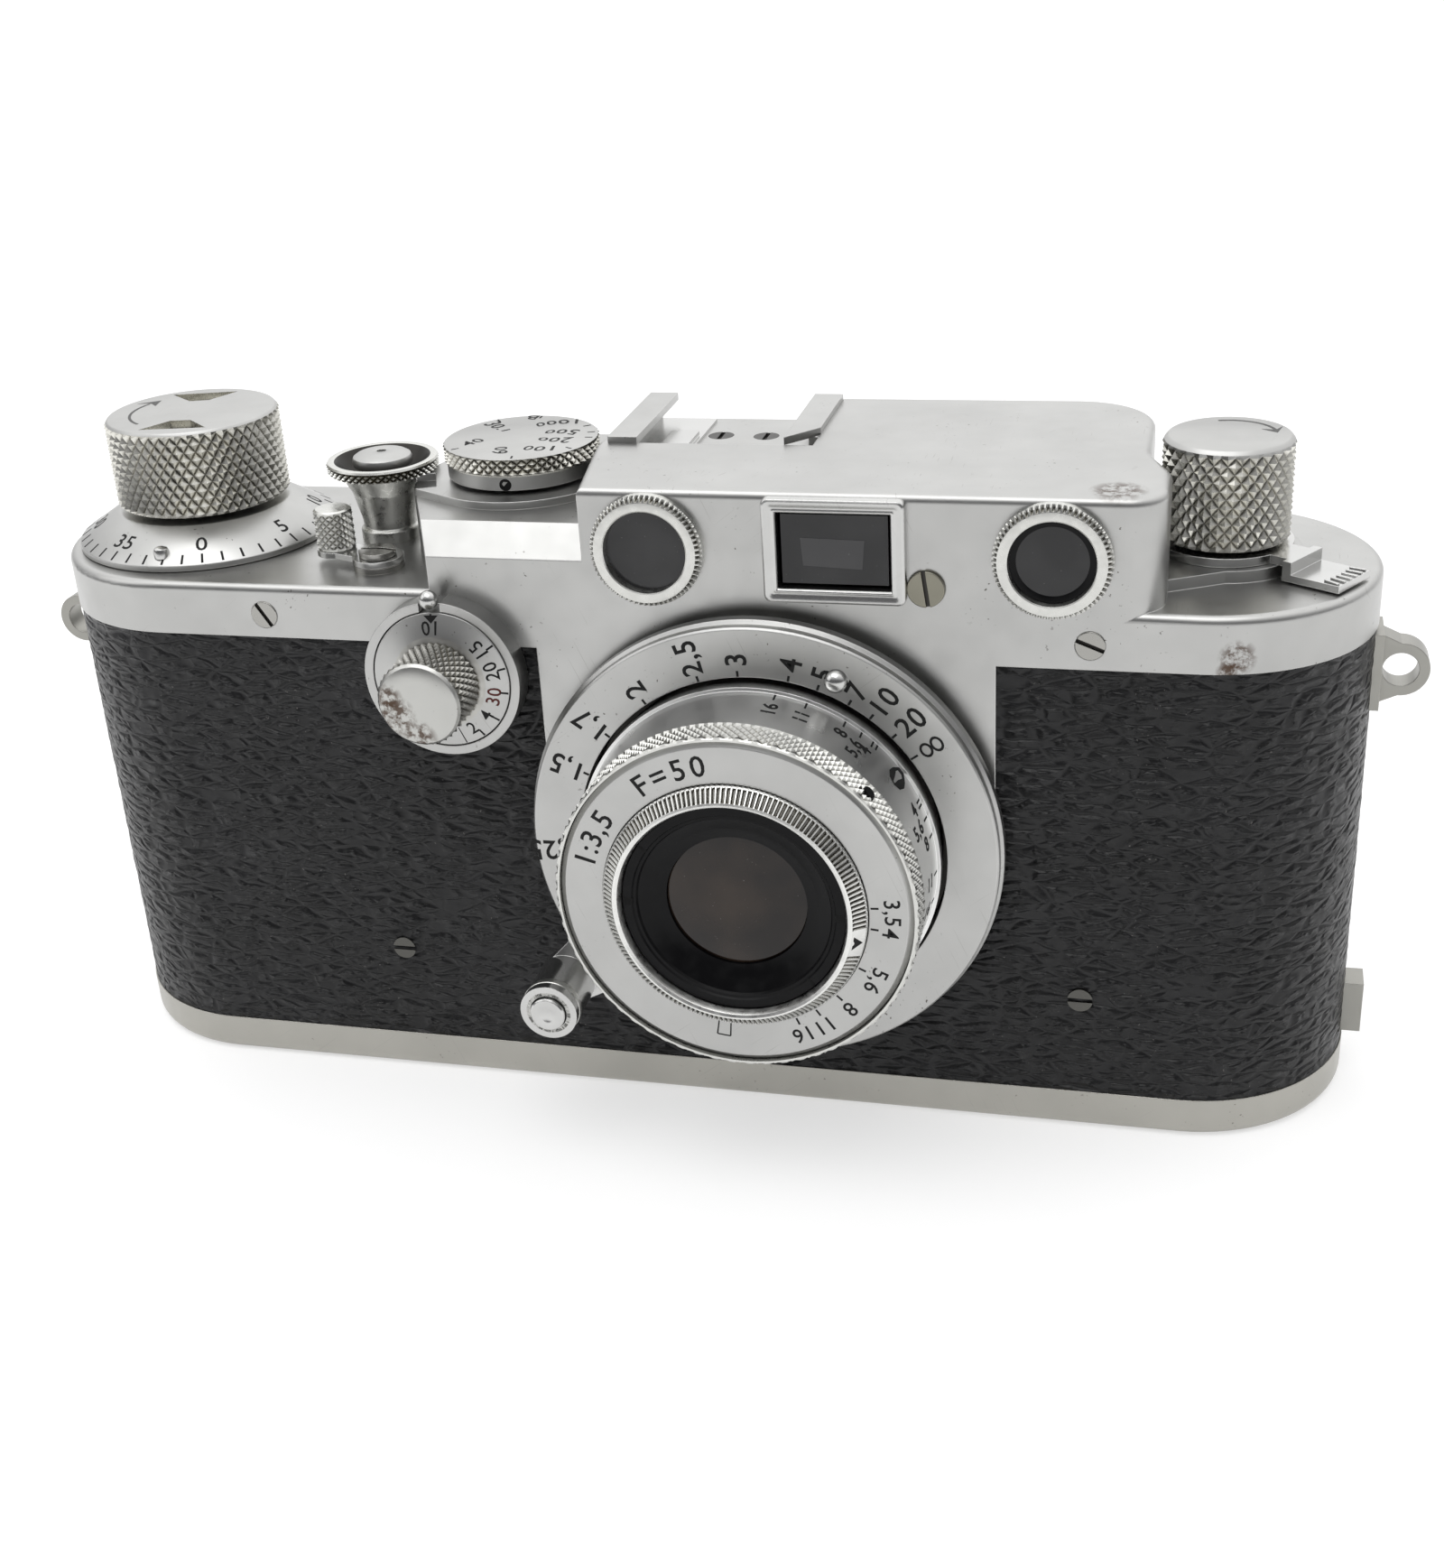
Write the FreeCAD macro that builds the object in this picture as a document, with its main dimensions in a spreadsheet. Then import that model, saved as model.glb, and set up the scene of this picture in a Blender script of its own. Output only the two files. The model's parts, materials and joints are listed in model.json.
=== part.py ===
# A 35 mm rangefinder camera with a collapsible 50 mm lens, modelled piece by piece.
#
# Frame: +X runs to the right when the lens is faced, the lens looks along -Y, +Z is up.
# The origin is the middle of the underside of the base plate. All sizes are millimetres.
# "ahead" in a name is a distance measured towards the lens side, from the body's centre plane.
import FreeCAD, Part

import os
import re
import Sketcher

Vector = FreeCAD.Vector
Rotation = FreeCAD.Rotation

doc = FreeCAD.newDocument("rangefinder_camera")
sheet = doc.addObject("Spreadsheet::Sheet", "dims")

# ------------------------------------------------------------------ driving dimensions
DIMENSIONS = [
    # the body and its covers
    ("body_length", 136.0),
    ("body_depth", 32.4),
    ("base_height", 4.3),
    ("leather_top", 50.6),
    ("shoulder_top", 56.1),
    ("housing_top", 66.9),
    ("cover_wall", 0.9),
    ("shell_wall", 1.2),
    ("leather_thickness", 0.7),
    ("leather_inset", 0.1),
    ("seam_gap", 0.05),
    ("base_wall", 0.9),
    ("base_edge_round", 1.2),
    ("cover_edge_round", 0.8),
    ("edge_bevel", 0.4),
    ("rebate_clearance", 0.1),
    ("shell_bottom", 1.2),
    # the rangefinder housing on the top cover
    ("housing_left_front", 6.0),
    ("housing_left_rear", 8.3),
    ("housing_bend", 2.0),
    ("housing_right_front", 48.4),
    ("housing_right_rear", 46.1),
    ("housing_waist_front", 7.5),
    ("housing_waist_rear", 1.5),
    ("housing_front_corner", 3.7),
    ("housing_rear_corner", 8.0),
    # the raised step that carries the speed dial
    ("step_top", 62.5),
    ("step_radius", 11.4),
    ("step_left", 21.9),
    ("step_flank_x", -26.2),
    ("step_flank_y", -6.6),
    ("step_bevel", 2.8),
    ("step_rear_round", 4.0),
    ("speed_plate_radius", 10.15),
    ("speed_plate_top", 63.3),
    ("speed_plate_fork_angle", 201.6),
    ("speed_plate_fork_reach", 11.15),
    ("speed_plate_fork_root", 7.87),
    ("speed_plate_fork_root_half", 6.41),
    ("speed_plate_notch_half", 2.4),
    ("speed_plate_notch_start", 9.05),
    # winding side
    ("wind_x", -53.3),
    ("wind_knob_radius", 9.1),
    ("wind_knob_bottom", 60.1),
    ("wind_knob_top", 69.3),
    ("wind_hub_radius", 3.0),
    ("wind_hub_sink", 0.5),
    ("wind_cap", 2.0),
    ("knob_bevel", 0.3),
    ("counter_radius", 13.65),
    ("counter_edge_top", 56.85),
    ("counter_crown_radius", 9.2),
    ("counter_crown_top", 59.6),
    ("shaft_radius", 2.0),
    ("shaft_clearance", 0.05),
    ("spool_core_radius", 5.5),
    ("spool_flange_radius", 11.0),
    ("spool_bottom", 8.0),
    ("spool_top", 47.2),
    ("spool_flange_thickness", 1.2),
    # shutter release and sprocket, on one axis
    ("release_x", -32.3),
    ("release_lip_radius", 5.85),
    ("release_lip_bottom", 63.5),
    ("release_lip_top", 64.6),
    ("release_neck_radius", 4.5),
    ("release_waist_radius", 2.7),
    ("release_waist_height", 57.6),
    ("release_foot_radius", 3.1),
    ("release_floor_radius", 3.4),
    ("release_floor_height", 62.6),
    ("release_cup_radius", 4.7),
    ("release_button_radius", 3.1),
    ("release_button_bottom", 63.9),
    ("release_button_top", 65.3),
    ("release_stem_radius", 1.0),
    ("release_stem_bottom", 50.0),
    ("sprocket_radius", 5.6),
    ("sprocket_drum_radius", 5.0),
    ("sprocket_drum_bottom", 8.6),
    ("sprocket_drum_height", 39.0),
    ("sprocket_row_width", 1.6),
    ("bearing_bottom", 5.7),
    ("sprocket_tooth_radius", 6.6),
    ("sprocket_teeth", 8),
    ("sprocket_row_spacing", 28.2),
    ("sprocket_shaft_radius", 2.2),
    ("sprocket_bore_radius", 1.3),
    # speed dial and shutter drum, on one axis
    ("dial_x", -16.8),
    ("dial_collar_radius", 7.7),
    ("dial_collar_bottom", 63.6),
    ("dial_rim_radius", 8.0),
    ("dial_rim_bottom", 65.3),
    ("dial_top", 66.95),
    ("dial_bevel", 0.25),
    ("dial_cap", 1.2),
    ("drum_radius", 5.2),
    ("drum_bottom", 15.0),
    ("drum_height", 32.0),
    ("drum_shaft_height", 60.0),
    ("drum_shaft_radius", 1.5),
    # the gear train between wind shaft, sprocket and drum
    ("gear_thickness", 1.1),
    ("lower_gear_bottom", 51.8),
    ("upper_gear_bottom", 53.4),
    ("wind_gear_teeth", 42),
    ("drum_gear_teeth", 31),
    ("tooth_addendum", 0.45),
    ("tooth_dedendum", 0.6),
    ("tooth_root_half", 0.5),
    ("tooth_tip_half", 0.18),
    # advance and rewind lever
    ("lever_x", -29.8),
    ("lever_ahead", 9.7),
    ("lever_boss_radius", 2.6),
    ("lever_screw_radius", 1.2),
    ("lever_head_radius", 1.9),
    ("lever_post_radius", 1.75),
    ("lever_foot_radius", 2.05),
    ("lever_arm_half", 1.8),
    ("lever_post_top", 61.5),
    ("lever_post_left", 5.3),
    ("lever_post_back", 2.0),
    ("lever_bottom", 56.75),
    ("lever_thickness", 0.6),
    # rewind side
    ("rewind_x", 53.2),
    ("rewind_knob_radius", 6.15),
    ("rewind_knob_bottom", 58.45),
    ("rewind_knob_top", 68.3),
    ("rewind_neck_radius", 3.0),
    ("rewind_neck_sink", 1.0),
    ("rewind_cap", 2.5),
    ("rewind_plinth_radius", 7.3),
    ("rewind_plinth_top", 57.3),
    ("ridge_left", 45.0),
    ("ridge_left_half", 11.8),
    ("ridge_right", 58.6),
    ("ridge_right_half", 4.6),
    ("rewind_fork_bottom", 44.0),
    ("rewind_shaft_bottom", 45.8),
    ("rewind_blade_height", 3.6),
    ("rewind_blade_width", 3.2),
    ("rewind_blade_thickness", 1.0),
    ("diopter_ring_radius", 6.5),
    ("diopter_thickness", 0.85),
    ("diopter_reach", 13.9),
    ("diopter_tab_start", 8.0),
    ("diopter_tab_width", 5.4),
    ("diopter_tab_thickness", 0.7),
    ("diopter_tab_lift", 0.2),
    ("diopter_neck_half", 1.9),
    ("diopter_riser_width", 0.9),
    ("diopter_angle", -32.0),
    # windows in the housing
    ("window_height", 61.2),
    ("window_left_x", 0.66),
    ("window_right_x", 38.45),
    ("window_ring_radius", 5.45),
    ("window_mouth_radius", 4.5),
    ("window_glass_radius", 3.9),
    ("window_proud", 1.5),
    ("window_mouth_slope", 0.6),
    ("pane_thickness", 0.6),
    ("finder_x", 18.52),
    ("finder_height", 61.55),
    ("finder_width", 13.5),
    ("finder_tall", 10.2),
    ("finder_rim", 1.35),
    ("finder_lip", 0.4),
    ("finder_proud", 1.0),
    ("eyepiece_spacing", 9.1),
    ("eyepiece_radius", 4.2),
    ("eyepiece_bore", 2.7),
    ("eyepiece_seat_radius", 3.5),
    ("eyepiece_proud", 1.5),
    ("adjuster_x", 26.95),
    ("adjuster_height", 58.07),
    ("adjuster_radius", 1.75),
    ("adjuster_proud", 0.45),
    # accessory shoe
    ("shoe_left", -7.2),
    ("shoe_right", 13.7),
    ("shoe_front", -1.3),
    ("shoe_rear", 15.2),
    ("shoe_seat", 63.8),
    ("shoe_plate", 0.9),
    ("shoe_wall", 1.15),
    ("shoe_channel_height", 2.0),
    ("shoe_lip_thickness", 0.8),
    ("shoe_lip_width", 3.0),
    ("shoe_lip_slant", 3.6),
    ("shoe_screw_first_x", 1.9),
    ("shoe_screw_spacing", 4.8),
    ("shoe_screw_y", 9.0),
    ("shoe_screw_radius", 1.35),
    ("shoe_shank_radius", 0.8),
    ("spring_leaf_width", 7.4),
    ("spring_leaf_thickness", 0.3),
    ("spring_crest_height", 0.75),
    # cover and leather screws
    ("cover_screw_left_x", -40.0),
    ("cover_screw_right_x", 41.9),
    ("cover_screw_height", 53.0),
    ("cover_screw_radius", 1.4),
    ("leather_screw_left_x", -29.9),
    ("leather_screw_right_x", 41.8),
    ("leather_screw_height", 15.1),
    ("leather_screw_radius", 1.25),
    ("screw_slot_width", 0.45),
    ("screw_slot_depth", 0.5),
    # strap lugs and the catch stud on the right end
    ("lug_height", 45.7),
    ("lug_reach", 2.3),
    ("lug_ring_radius", 2.7),
    ("lug_eye_radius", 1.7),
    ("lug_thickness", 2.6),
    ("lug_foot_half", 3.9),
    ("lug_foot_width", 5.0),
    ("stud_bottom", 4.9),
    ("stud_tall", 5.7),
    ("stud_width", 3.2),
    ("stud_reach", 1.7),
    # slow speed dial on the front
    ("slow_x", -20.65),
    ("slow_height", 47.9),
    ("slow_ring_radius", 8.05),
    ("slow_ring_bore", 7.15),
    ("slow_ring_proud", 2.6),
    ("slow_dial_radius", 7.05),
    ("slow_dial_proud", 3.2),
    ("slow_dial_seat", 0.5),
    ("slow_shaft_sink", 1.5),
    ("slow_knob_radius", 4.4),
    ("slow_knob_proud", 9.2),
    ("slow_ball_radius", 0.95),
    ("slow_ball_above", 8.3),
    ("slow_ball_left", 0.4),
    ("slow_ball_ahead", 18.7),
    ("slow_stalk_radius", 0.45),
    ("slow_slot_width", 2.2),
    # lens mount and film plane
    ("lens_x", 10.95),
    ("lens_height", 31.75),
    ("mount_face_ahead", 17.6),
    ("flange_to_film", 28.8),
    ("mount_thread_radius", 19.5),
    ("mount_ring_radius", 22.3),
    ("mount_sleeve_radius", 20.9),
    ("mount_sleeve_rear_ahead", 12.0),
    ("mount_screw_circle", 20.95),
    ("mount_screw_radius", 1.1),
    ("apron_radius", 22.4),
    ("frame_width", 36.0),
    ("frame_tall", 24.0),
    # the lens, from the flange forward
    ("scale_radius", 23.25),
    ("scale_rim_radius", 23.6),
    ("scale_rim_ahead", 18.6),
    ("scale_face_ahead", 19.9),
    ("flange_tail_ahead", 12.5),
    ("flange_bore_radius", 18.3),
    ("cam_outer_radius", 18.2),
    ("cam_inner_radius", 17.45),
    ("cam_rear_ahead", 10.0),
    ("cam_front_ahead", 16.8),
    ("focus_sleeve_radius", 17.35),
    ("focus_sleeve_rear_ahead", 9.0),
    ("focus_bore_radius", 16.3),
    ("focus_rim_radius", 17.85),
    ("focus_rear_ahead", 20.1),
    ("focus_edge_ahead", 21.3),
    ("focus_cone_radius", 17.5),
    ("focus_front_ahead", 27.8),
    ("focus_front_radius", 16.9),
    ("tube_radius", 16.25),
    ("tube_bore_radius", 15.0),
    ("tube_rear_ahead", -4.0),
    ("grip_radius", 17.4),
    ("grip_rear_ahead", 27.9),
    ("grip_front_ahead", 31.35),
    ("grip_recess_radius", 16.9),
    ("name_ring_rear_ahead", 29.2),
    ("name_ring_radius", 16.85),
    ("name_ring_edge_ahead", 30.8),
    ("name_ring_face_ahead", 31.2),
    ("name_ring_face_radius", 16.3),
    ("name_ring_bore", 12.7),
    ("iris_ring_radius", 12.6),
    ("iris_ring_bore", 10.75),
    ("iris_ring_rear_ahead", 29.0),
    ("iris_ring_front_ahead", 32.7),
    ("iris_ring_shoulder_ahead", 31.3),
    ("iris_ring_front_radius", 11.9),
    ("iris_ring_inner_ahead", 32.0),
    ("bezel_radius", 10.65),
    ("bezel_lip_radius", 9.6),
    ("bezel_flange_rear_ahead", 25.5),
    ("bezel_flange_front_ahead", 27.8),
    ("bezel_front_ahead", 31.8),
    ("bezel_seat_ahead", 30.1),
    ("front_glass_radius", 6.7),
    ("front_glass_ball", 30.0),
    ("front_glass_front_ahead", 30.7),
    ("iris_ahead", 20.0),
    ("iris_thickness", 0.6),
    ("iris_opening", 6.2),
    ("iris_blades", 10),
    ("rear_cell_bore", 7.0),
    ("rear_cell_front_ahead", 4.0),
    ("rear_cell_rear_ahead", -1.0),
    ("flange_stud_radius", 1.15),
    ("flange_stud_circle", 20.0),
    ("flange_stud_angle", 66.3),
    # focusing lever and its lock button
    ("focus_lever_angle", 217.3),
    ("focus_lever_circle", 26.2),
    ("focus_lever_width", 5.6),
    ("focus_lever_root_width", 9.2),
    ("focus_lever_thickness", 1.1),
    ("focus_knob_radius", 2.95),
    ("focus_knob_front_ahead", 27.5),
    ("lock_button_radius", 1.85),
    ("lock_button_stem", 0.9),
    ("lock_button_front_ahead", 28.0),
    ("lock_button_seat_ahead", 26.0),
    # the base plate's fittings
    ("bush_radius", 6.0),
    ("bush_flange_radius", 7.5),
    ("bush_top", 5.4),
    ("bush_bore_radius", 3.97),
    ("bush_bore_depth", 4.6),
    ("key_radius", 8.0),
    ("key_flange_radius", 9.0),
    ("key_bottom", 0.15),
    ("key_top", 1.9),
    ("key_bar_length", 15.0),
    ("key_bar_width", 4.0),
    ("key_bar_top", 3.4),
    ("key_clearance", 0.08),
    ("handle_outer_radius", 6.2),
    ("handle_inner_radius", 4.8),
    ("handle_thickness", 0.7),
    ("handle_pivot_height", 0.58),
    # the inner frame
    ("deck_bottom", 48.8),
    ("deck_top", 50.6),
    ("floor_bottom", 5.6),
    ("floor_top", 7.0),
    ("floor_left", -39.0),
    ("floor_right", 38.8),
    ("gate_left", -24.0),
    ("roller_wall_x", -8.5),
    ("spring_wall_x", 33.4),
    ("bearing_length", 60.0),
    ("wall_thickness", 0.9),
    ("gate_thickness", 1.3),
    ("curtain_thickness", 0.3),
    ("curtain_left", -15.0),
    ("curtain_right", 31.0),
    ("curtain_margin", 3.0),
    ("curtain_well_margin", 3.5),
    ("plate_thickness", 0.8),
    ("pad_margin", 2.0),
    ("pad_margin_tall", 2.2),
    ("pad_spring_first", -12.0),
    ("pad_spring_second", 7.0),
    ("pad_spring_width", 5.0),
    ("pad_spring_half", 7.0),
]

for row, (alias, number) in enumerate(DIMENSIONS, start=1):
    sheet.set("A%d" % row, alias.replace("_", " "))
    sheet.set("B%d" % row, str(number))
    sheet.setAlias("B%d" % row, alias)
doc.recompute()

ALIASES = {alias for alias, number in DIMENSIONS}
SUBPARTS = []

# sizes that several pieces share, as formulas of the sheet's cells
HALF_DEPTH = "(body_depth / 2)"
END_X = "((body_length - body_depth) / 2)"
SHELL_RADIUS = "(body_depth / 2 - leather_inset - leather_thickness)"
SHELL_BORE = "(body_depth / 2 - leather_inset - leather_thickness - shell_wall)"
FILM_Y = "(flange_to_film - mount_face_ahead)"
TURNS = {
    "up": Rotation(),
    "front": Rotation(Vector(1, 0, 0), 90),
    "back": Rotation(Vector(1, 0, 0), -90),
}


# ------------------------------------------------------------------ helpers
def formula(text):
    """Writes a formula of sheet aliases as one that FreeCAD can read."""
    def refer(match):
        word = match.group(0)
        return "dims." + word if word in ALIASES else word
    return re.sub(r"[a-z][a-z_]*", refer, text)


def bind(thing, prop, text):
    thing.setExpression(prop, formula(text))


def place(thing, at, axis="up"):
    """Turns a piece's own +Z to the axis and binds its origin to three formulas."""
    thing.Placement = FreeCAD.Placement(Vector(), TURNS[axis])
    for letter, text in zip("xyz", at):
        bind(thing, "Placement.Base." + letter, text)
    return thing


def box(size, at):
    thing = doc.addObject("Part::Box", "block")
    for prop, text in zip(("Length", "Width", "Height"), size):
        bind(thing, prop, text)
    return place(thing, at)


def span_box(low, high):
    """A box between two opposite corners, given as formulas."""
    size = ["(%s) - (%s)" % (top, bottom) for bottom, top in zip(low, high)]
    return box(size, low)


def cylinder(radius, height, at, axis="up"):
    thing = doc.addObject("Part::Cylinder", "round")
    bind(thing, "Radius", radius)
    bind(thing, "Height", height)
    return place(thing, at, axis)


def sphere(radius, at):
    thing = doc.addObject("Part::Sphere", "ball")
    bind(thing, "Radius", radius)
    return place(thing, at)


def fuse(*pieces):
    if len(pieces) == 1:
        return pieces[0]
    thing = doc.addObject("Part::MultiFuse", "joined")
    thing.Shapes = list(pieces)
    thing.Refine = True
    return thing


def cut(base, *tools):
    thing = doc.addObject("Part::Cut", "cut")
    thing.Base = base
    thing.Tool = fuse(*tools)
    thing.Refine = True
    return thing


def common(*pieces):
    thing = doc.addObject("Part::MultiCommon", "shared")
    thing.Shapes = list(pieces)
    return thing


def group(*pieces):
    """Separate solids of one sub-part, such as identical screws."""
    thing = doc.addObject("Part::Compound", "set")
    thing.Links = list(pieces)
    return thing


def new_body():
    return doc.addObject("PartDesign::Body", "body")


def origin_feature(body, role):
    return next(item for item in body.Origin.OriginFeatures if item.Role == role)


def attached_sketch(body, plane):
    sketch = body.newObject("Sketcher::SketchObject", "sketch")
    sketch.AttachmentSupport = [(origin_feature(body, plane), "")]
    sketch.MapMode = "FlatFace"
    return sketch


def outline(body, plane, points):
    """A closed sketch of straight sides through points given as pairs of formulas."""
    sketch = attached_sketch(body, plane)
    count = len(points)
    spread = Part.makeCircle(10, Vector(20, 0, 0)).discretize(count + 1)
    for index in range(count):
        start = spread[index]
        end = spread[(index + 1) % count]
        sketch.addGeometry(Part.LineSegment(start, end))
    for index in range(count):
        following = (index + 1) % count
        sketch.addConstraint(Sketcher.Constraint("Coincident", index, 2, following, 1))
    for index, (across, along) in enumerate(points):
        start = spread[index]
        for kind, text, axis, number in (
            ("DistanceX", across, -2, start.x),
            ("DistanceY", along, -1, start.y),
        ):
            if text == "0":
                sketch.addConstraint(Sketcher.Constraint("PointOnObject", index, 1, axis))
            else:
                line = sketch.addConstraint(Sketcher.Constraint(kind, -1, 1, index, 1, number))
                bind(sketch, "Constraints[%d]" % line, text)
    return sketch


def turned(profile, at, axis="up"):
    """A lathe-turned piece: its profile is pairs of radius and height."""
    body = new_body()
    sketch = outline(body, "XZ_Plane", profile)
    turn = body.newObject("PartDesign::Revolution", "turn")
    turn.Profile = sketch
    turn.ReferenceAxis = (sketch, ["V_Axis"])
    turn.Angle = 360
    return place(body, at, axis)


def washer(outer, inner, low, high, at, axis="up"):
    """A flat ring between two heights."""
    profile = [(inner, low), (outer, low), (outer, high), (inner, high)]
    return turned(profile, at, axis)


def plate(points, thickness, at, axis="up"):
    """A flat plate with straight sides."""
    body = new_body()
    sketch = outline(body, "XY_Plane", points)
    pad = body.newObject("PartDesign::Pad", "pad")
    pad.Profile = sketch
    bind(pad, "Length", thickness)
    return place(body, at, axis)


def stadium(radius, bottom, top):
    """A block with straight front and back and half-round ends, as long as the body needs."""
    body = new_body()
    sketch = attached_sketch(body, "XY_Plane")
    half, reach = 16.0, 50.0
    right = Part.Circle(Vector(reach, 0, 0), Vector(0, 0, 1), half)
    left = Part.Circle(Vector(-reach, 0, 0), Vector(0, 0, 1), half)
    quarter = 1.5707963
    sketch.addGeometry(Part.LineSegment(Vector(-reach, -half, 0), Vector(reach, -half, 0)))
    sketch.addGeometry(Part.ArcOfCircle(right, -quarter, quarter))
    sketch.addGeometry(Part.LineSegment(Vector(reach, half, 0), Vector(-reach, half, 0)))
    sketch.addGeometry(Part.ArcOfCircle(left, quarter, 3 * quarter))
    for first, second, second_end in ((0, 1, 1), (1, 2, 1), (2, 3, 1), (3, 0, 1)):
        sketch.addConstraint(Sketcher.Constraint("Tangent", first, 2, second, second_end))
    sketch.addConstraint(Sketcher.Constraint("Horizontal", 0))
    sketch.addConstraint(Sketcher.Constraint("PointOnObject", 1, 3, -1))
    sketch.addConstraint(Sketcher.Constraint("PointOnObject", 3, 3, -1))
    line = sketch.addConstraint(Sketcher.Constraint("DistanceX", -1, 1, 1, 3, reach))
    bind(sketch, "Constraints[%d]" % line, END_X)
    line = sketch.addConstraint(Sketcher.Constraint("DistanceX", 3, 3, -1, 1, reach))
    bind(sketch, "Constraints[%d]" % line, END_X)
    line = sketch.addConstraint(Sketcher.Constraint("Radius", 1, half))
    bind(sketch, "Constraints[%d]" % line, radius)
    pad = body.newObject("PartDesign::Pad", "pad")
    pad.Profile = sketch
    bind(pad, "Length", "(%s) - (%s)" % (top, bottom))
    return place(body, ("0", "0", bottom))


def round_edges(body, radius, wanted):
    """Rounds the edges of a body's last feature that the test accepts."""
    doc.recompute()
    base = body.Tip
    names = [
        "Edge%d" % number
        for number, edge in enumerate(base.Shape.Edges, start=1)
        if wanted(edge.BoundBox)
    ]
    if not names:
        raise ValueError("no edge to round on " + body.Name)
    fillet = body.newObject("PartDesign::Fillet", "fillet")
    fillet.Base = (base, names)
    bind(fillet, "Radius", radius)
    return body


def bevel_edges(body, size, wanted):
    """Bevels the edges of a body's last feature that the test accepts."""
    doc.recompute()
    base = body.Tip
    names = [
        "Edge%d" % number
        for number, edge in enumerate(base.Shape.Edges, start=1)
        if wanted(edge.BoundBox)
    ]
    if not names:
        raise ValueError("no edge to bevel on " + body.Name)
    bevel = body.newObject("PartDesign::Chamfer", "bevel")
    bevel.Base = (base, names)
    bind(bevel, "Size", size)
    return body


def toothed_disc(disc_radius, tooth, teeth, thickness, at, turn="0"):
    """A disc with one tooth outline repeated round it: gears and sprocket rows."""
    body = new_body()
    rim = attached_sketch(body, "XY_Plane")
    rim.addGeometry(Part.Circle(Vector(), Vector(0, 0, 1), 5))
    rim.addConstraint(Sketcher.Constraint("Coincident", 0, 3, -1, 1))
    line = rim.addConstraint(Sketcher.Constraint("Radius", 0, 5))
    bind(rim, "Constraints[%d]" % line, disc_radius)
    disc = body.newObject("PartDesign::Pad", "disc")
    disc.Profile = rim
    bind(disc, "Length", thickness)
    one_tooth = body.newObject("PartDesign::Pad", "tooth")
    one_tooth.Profile = outline(body, "XY_Plane", tooth)
    bind(one_tooth, "Length", thickness)
    pattern = body.newObject("PartDesign::PolarPattern", "teeth")
    pattern.Originals = [one_tooth]
    pattern.Axis = (origin_feature(body, "Z_Axis"), [""])
    pattern.Angle = 360
    bind(pattern, "Occurrences", teeth)
    body.Tip = pattern
    place(body, at)
    bind(body, "Placement.Rotation.Angle", turn)
    return body


def gear(pitch_radius, teeth, bottom, x, turn="0"):
    tooth = [
        (pitch_radius + " - tooth_dedendum - 0.2", "-tooth_root_half"),
        (pitch_radius + " + tooth_addendum", "-tooth_tip_half"),
        (pitch_radius + " + tooth_addendum", "tooth_tip_half"),
        (pitch_radius + " - tooth_dedendum - 0.2", "tooth_root_half"),
    ]
    root = pitch_radius + " - tooth_dedendum"
    return toothed_disc(root, tooth, teeth, "gear_thickness", (x, "0", bottom), turn)


def slotted_screw(x, z, radius, front_ahead, length, side="front"):
    """A cylinder-headed screw whose face shows a slot, on the front or the rear."""
    face = "-(%s)" % front_ahead if side == "front" else front_ahead
    inner = "back" if side == "front" else "front"
    head = cylinder(radius, length, (x, face, z), inner)
    slot_low = face if side == "front" else "(%s) - screw_slot_depth" % face
    slot = box(
        ("2 * (%s) + 1" % radius, "screw_slot_depth", "screw_slot_width"),
        ("%s - (%s) - 0.5" % (x, radius), slot_low, "%s - screw_slot_width / 2" % z),
    )
    return cut(head, slot)


def subpart(label, thing):
    thing.Label = label
    SUBPARTS.append(thing)
    return thing


def along_z(edge_box):
    return edge_box.ZLength > 0.5 and edge_box.XLength < 0.01 and edge_box.YLength < 0.01


def at_height(value):
    def test(edge_box):
        return abs(edge_box.ZMin - value) < 0.01 and abs(edge_box.ZMax - value) < 0.01
    return test


def corner(x, y):
    def test(edge_box):
        near = abs(edge_box.XMin - x) < 0.05 and abs(edge_box.YMin - y) < 0.05
        return near and along_z(edge_box)
    return test


def lens_place(z="lens_height"):
    """The lens axis on the body's centre plane: heights along it count forward."""
    return ("lens_x", "0", z)


# ------------------------------------------------------------------ body and covers
def lens_throat(radius, rear_ahead, front_ahead):
    length = "(%s) - (%s)" % (front_ahead, rear_ahead)
    return cylinder(radius, length, ("lens_x", "-(%s)" % rear_ahead, "lens_height"), "front")


def cross_hole(x, z, radius, side="front"):
    """A hole along Y through one long wall of the body."""
    if side == "front":
        return cylinder(radius, "4", (x, "-%s - 1" % HALF_DEPTH, z), "back")
    return cylinder(radius, "4", (x, "%s + 1" % HALF_DEPTH, z), "front")


def end_pocket(sign, bottom, top, width):
    """A pocket through the leather at one end of the body."""
    inner = "%s + %s" % (END_X, SHELL_RADIUS)
    low_x = inner if sign > 0 else "-(%s) - 3" % inner
    return box(
        ("3", width, "(%s) - (%s)" % (top, bottom)),
        (low_x, "-(%s) / 2" % width, bottom),
    )


def wall_holes():
    """Holes that the leather and the shell share."""
    return [
        cross_hole("leather_screw_left_x", "leather_screw_height", "leather_screw_radius"),
        cross_hole("leather_screw_right_x", "leather_screw_height", "leather_screw_radius"),
        cross_hole("slow_x", "slow_height", "drum_shaft_radius + shaft_clearance"),
    ]


def make_body_shell():
    outer = stadium(SHELL_RADIUS, "base_height + 2 * seam_gap", "leather_top")
    skirt_radius = "%s - base_wall - rebate_clearance" % HALF_DEPTH
    skirt = stadium(skirt_radius, "shell_bottom", "base_height + 2 * seam_gap")
    bore = stadium(SHELL_BORE, "shell_bottom - 1", "leather_top + 1")
    throat = lens_throat("mount_sleeve_radius + seam_gap", "10", "20")
    subpart("body_shell", cut(fuse(outer, skirt), bore, throat, *wall_holes()))


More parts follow.
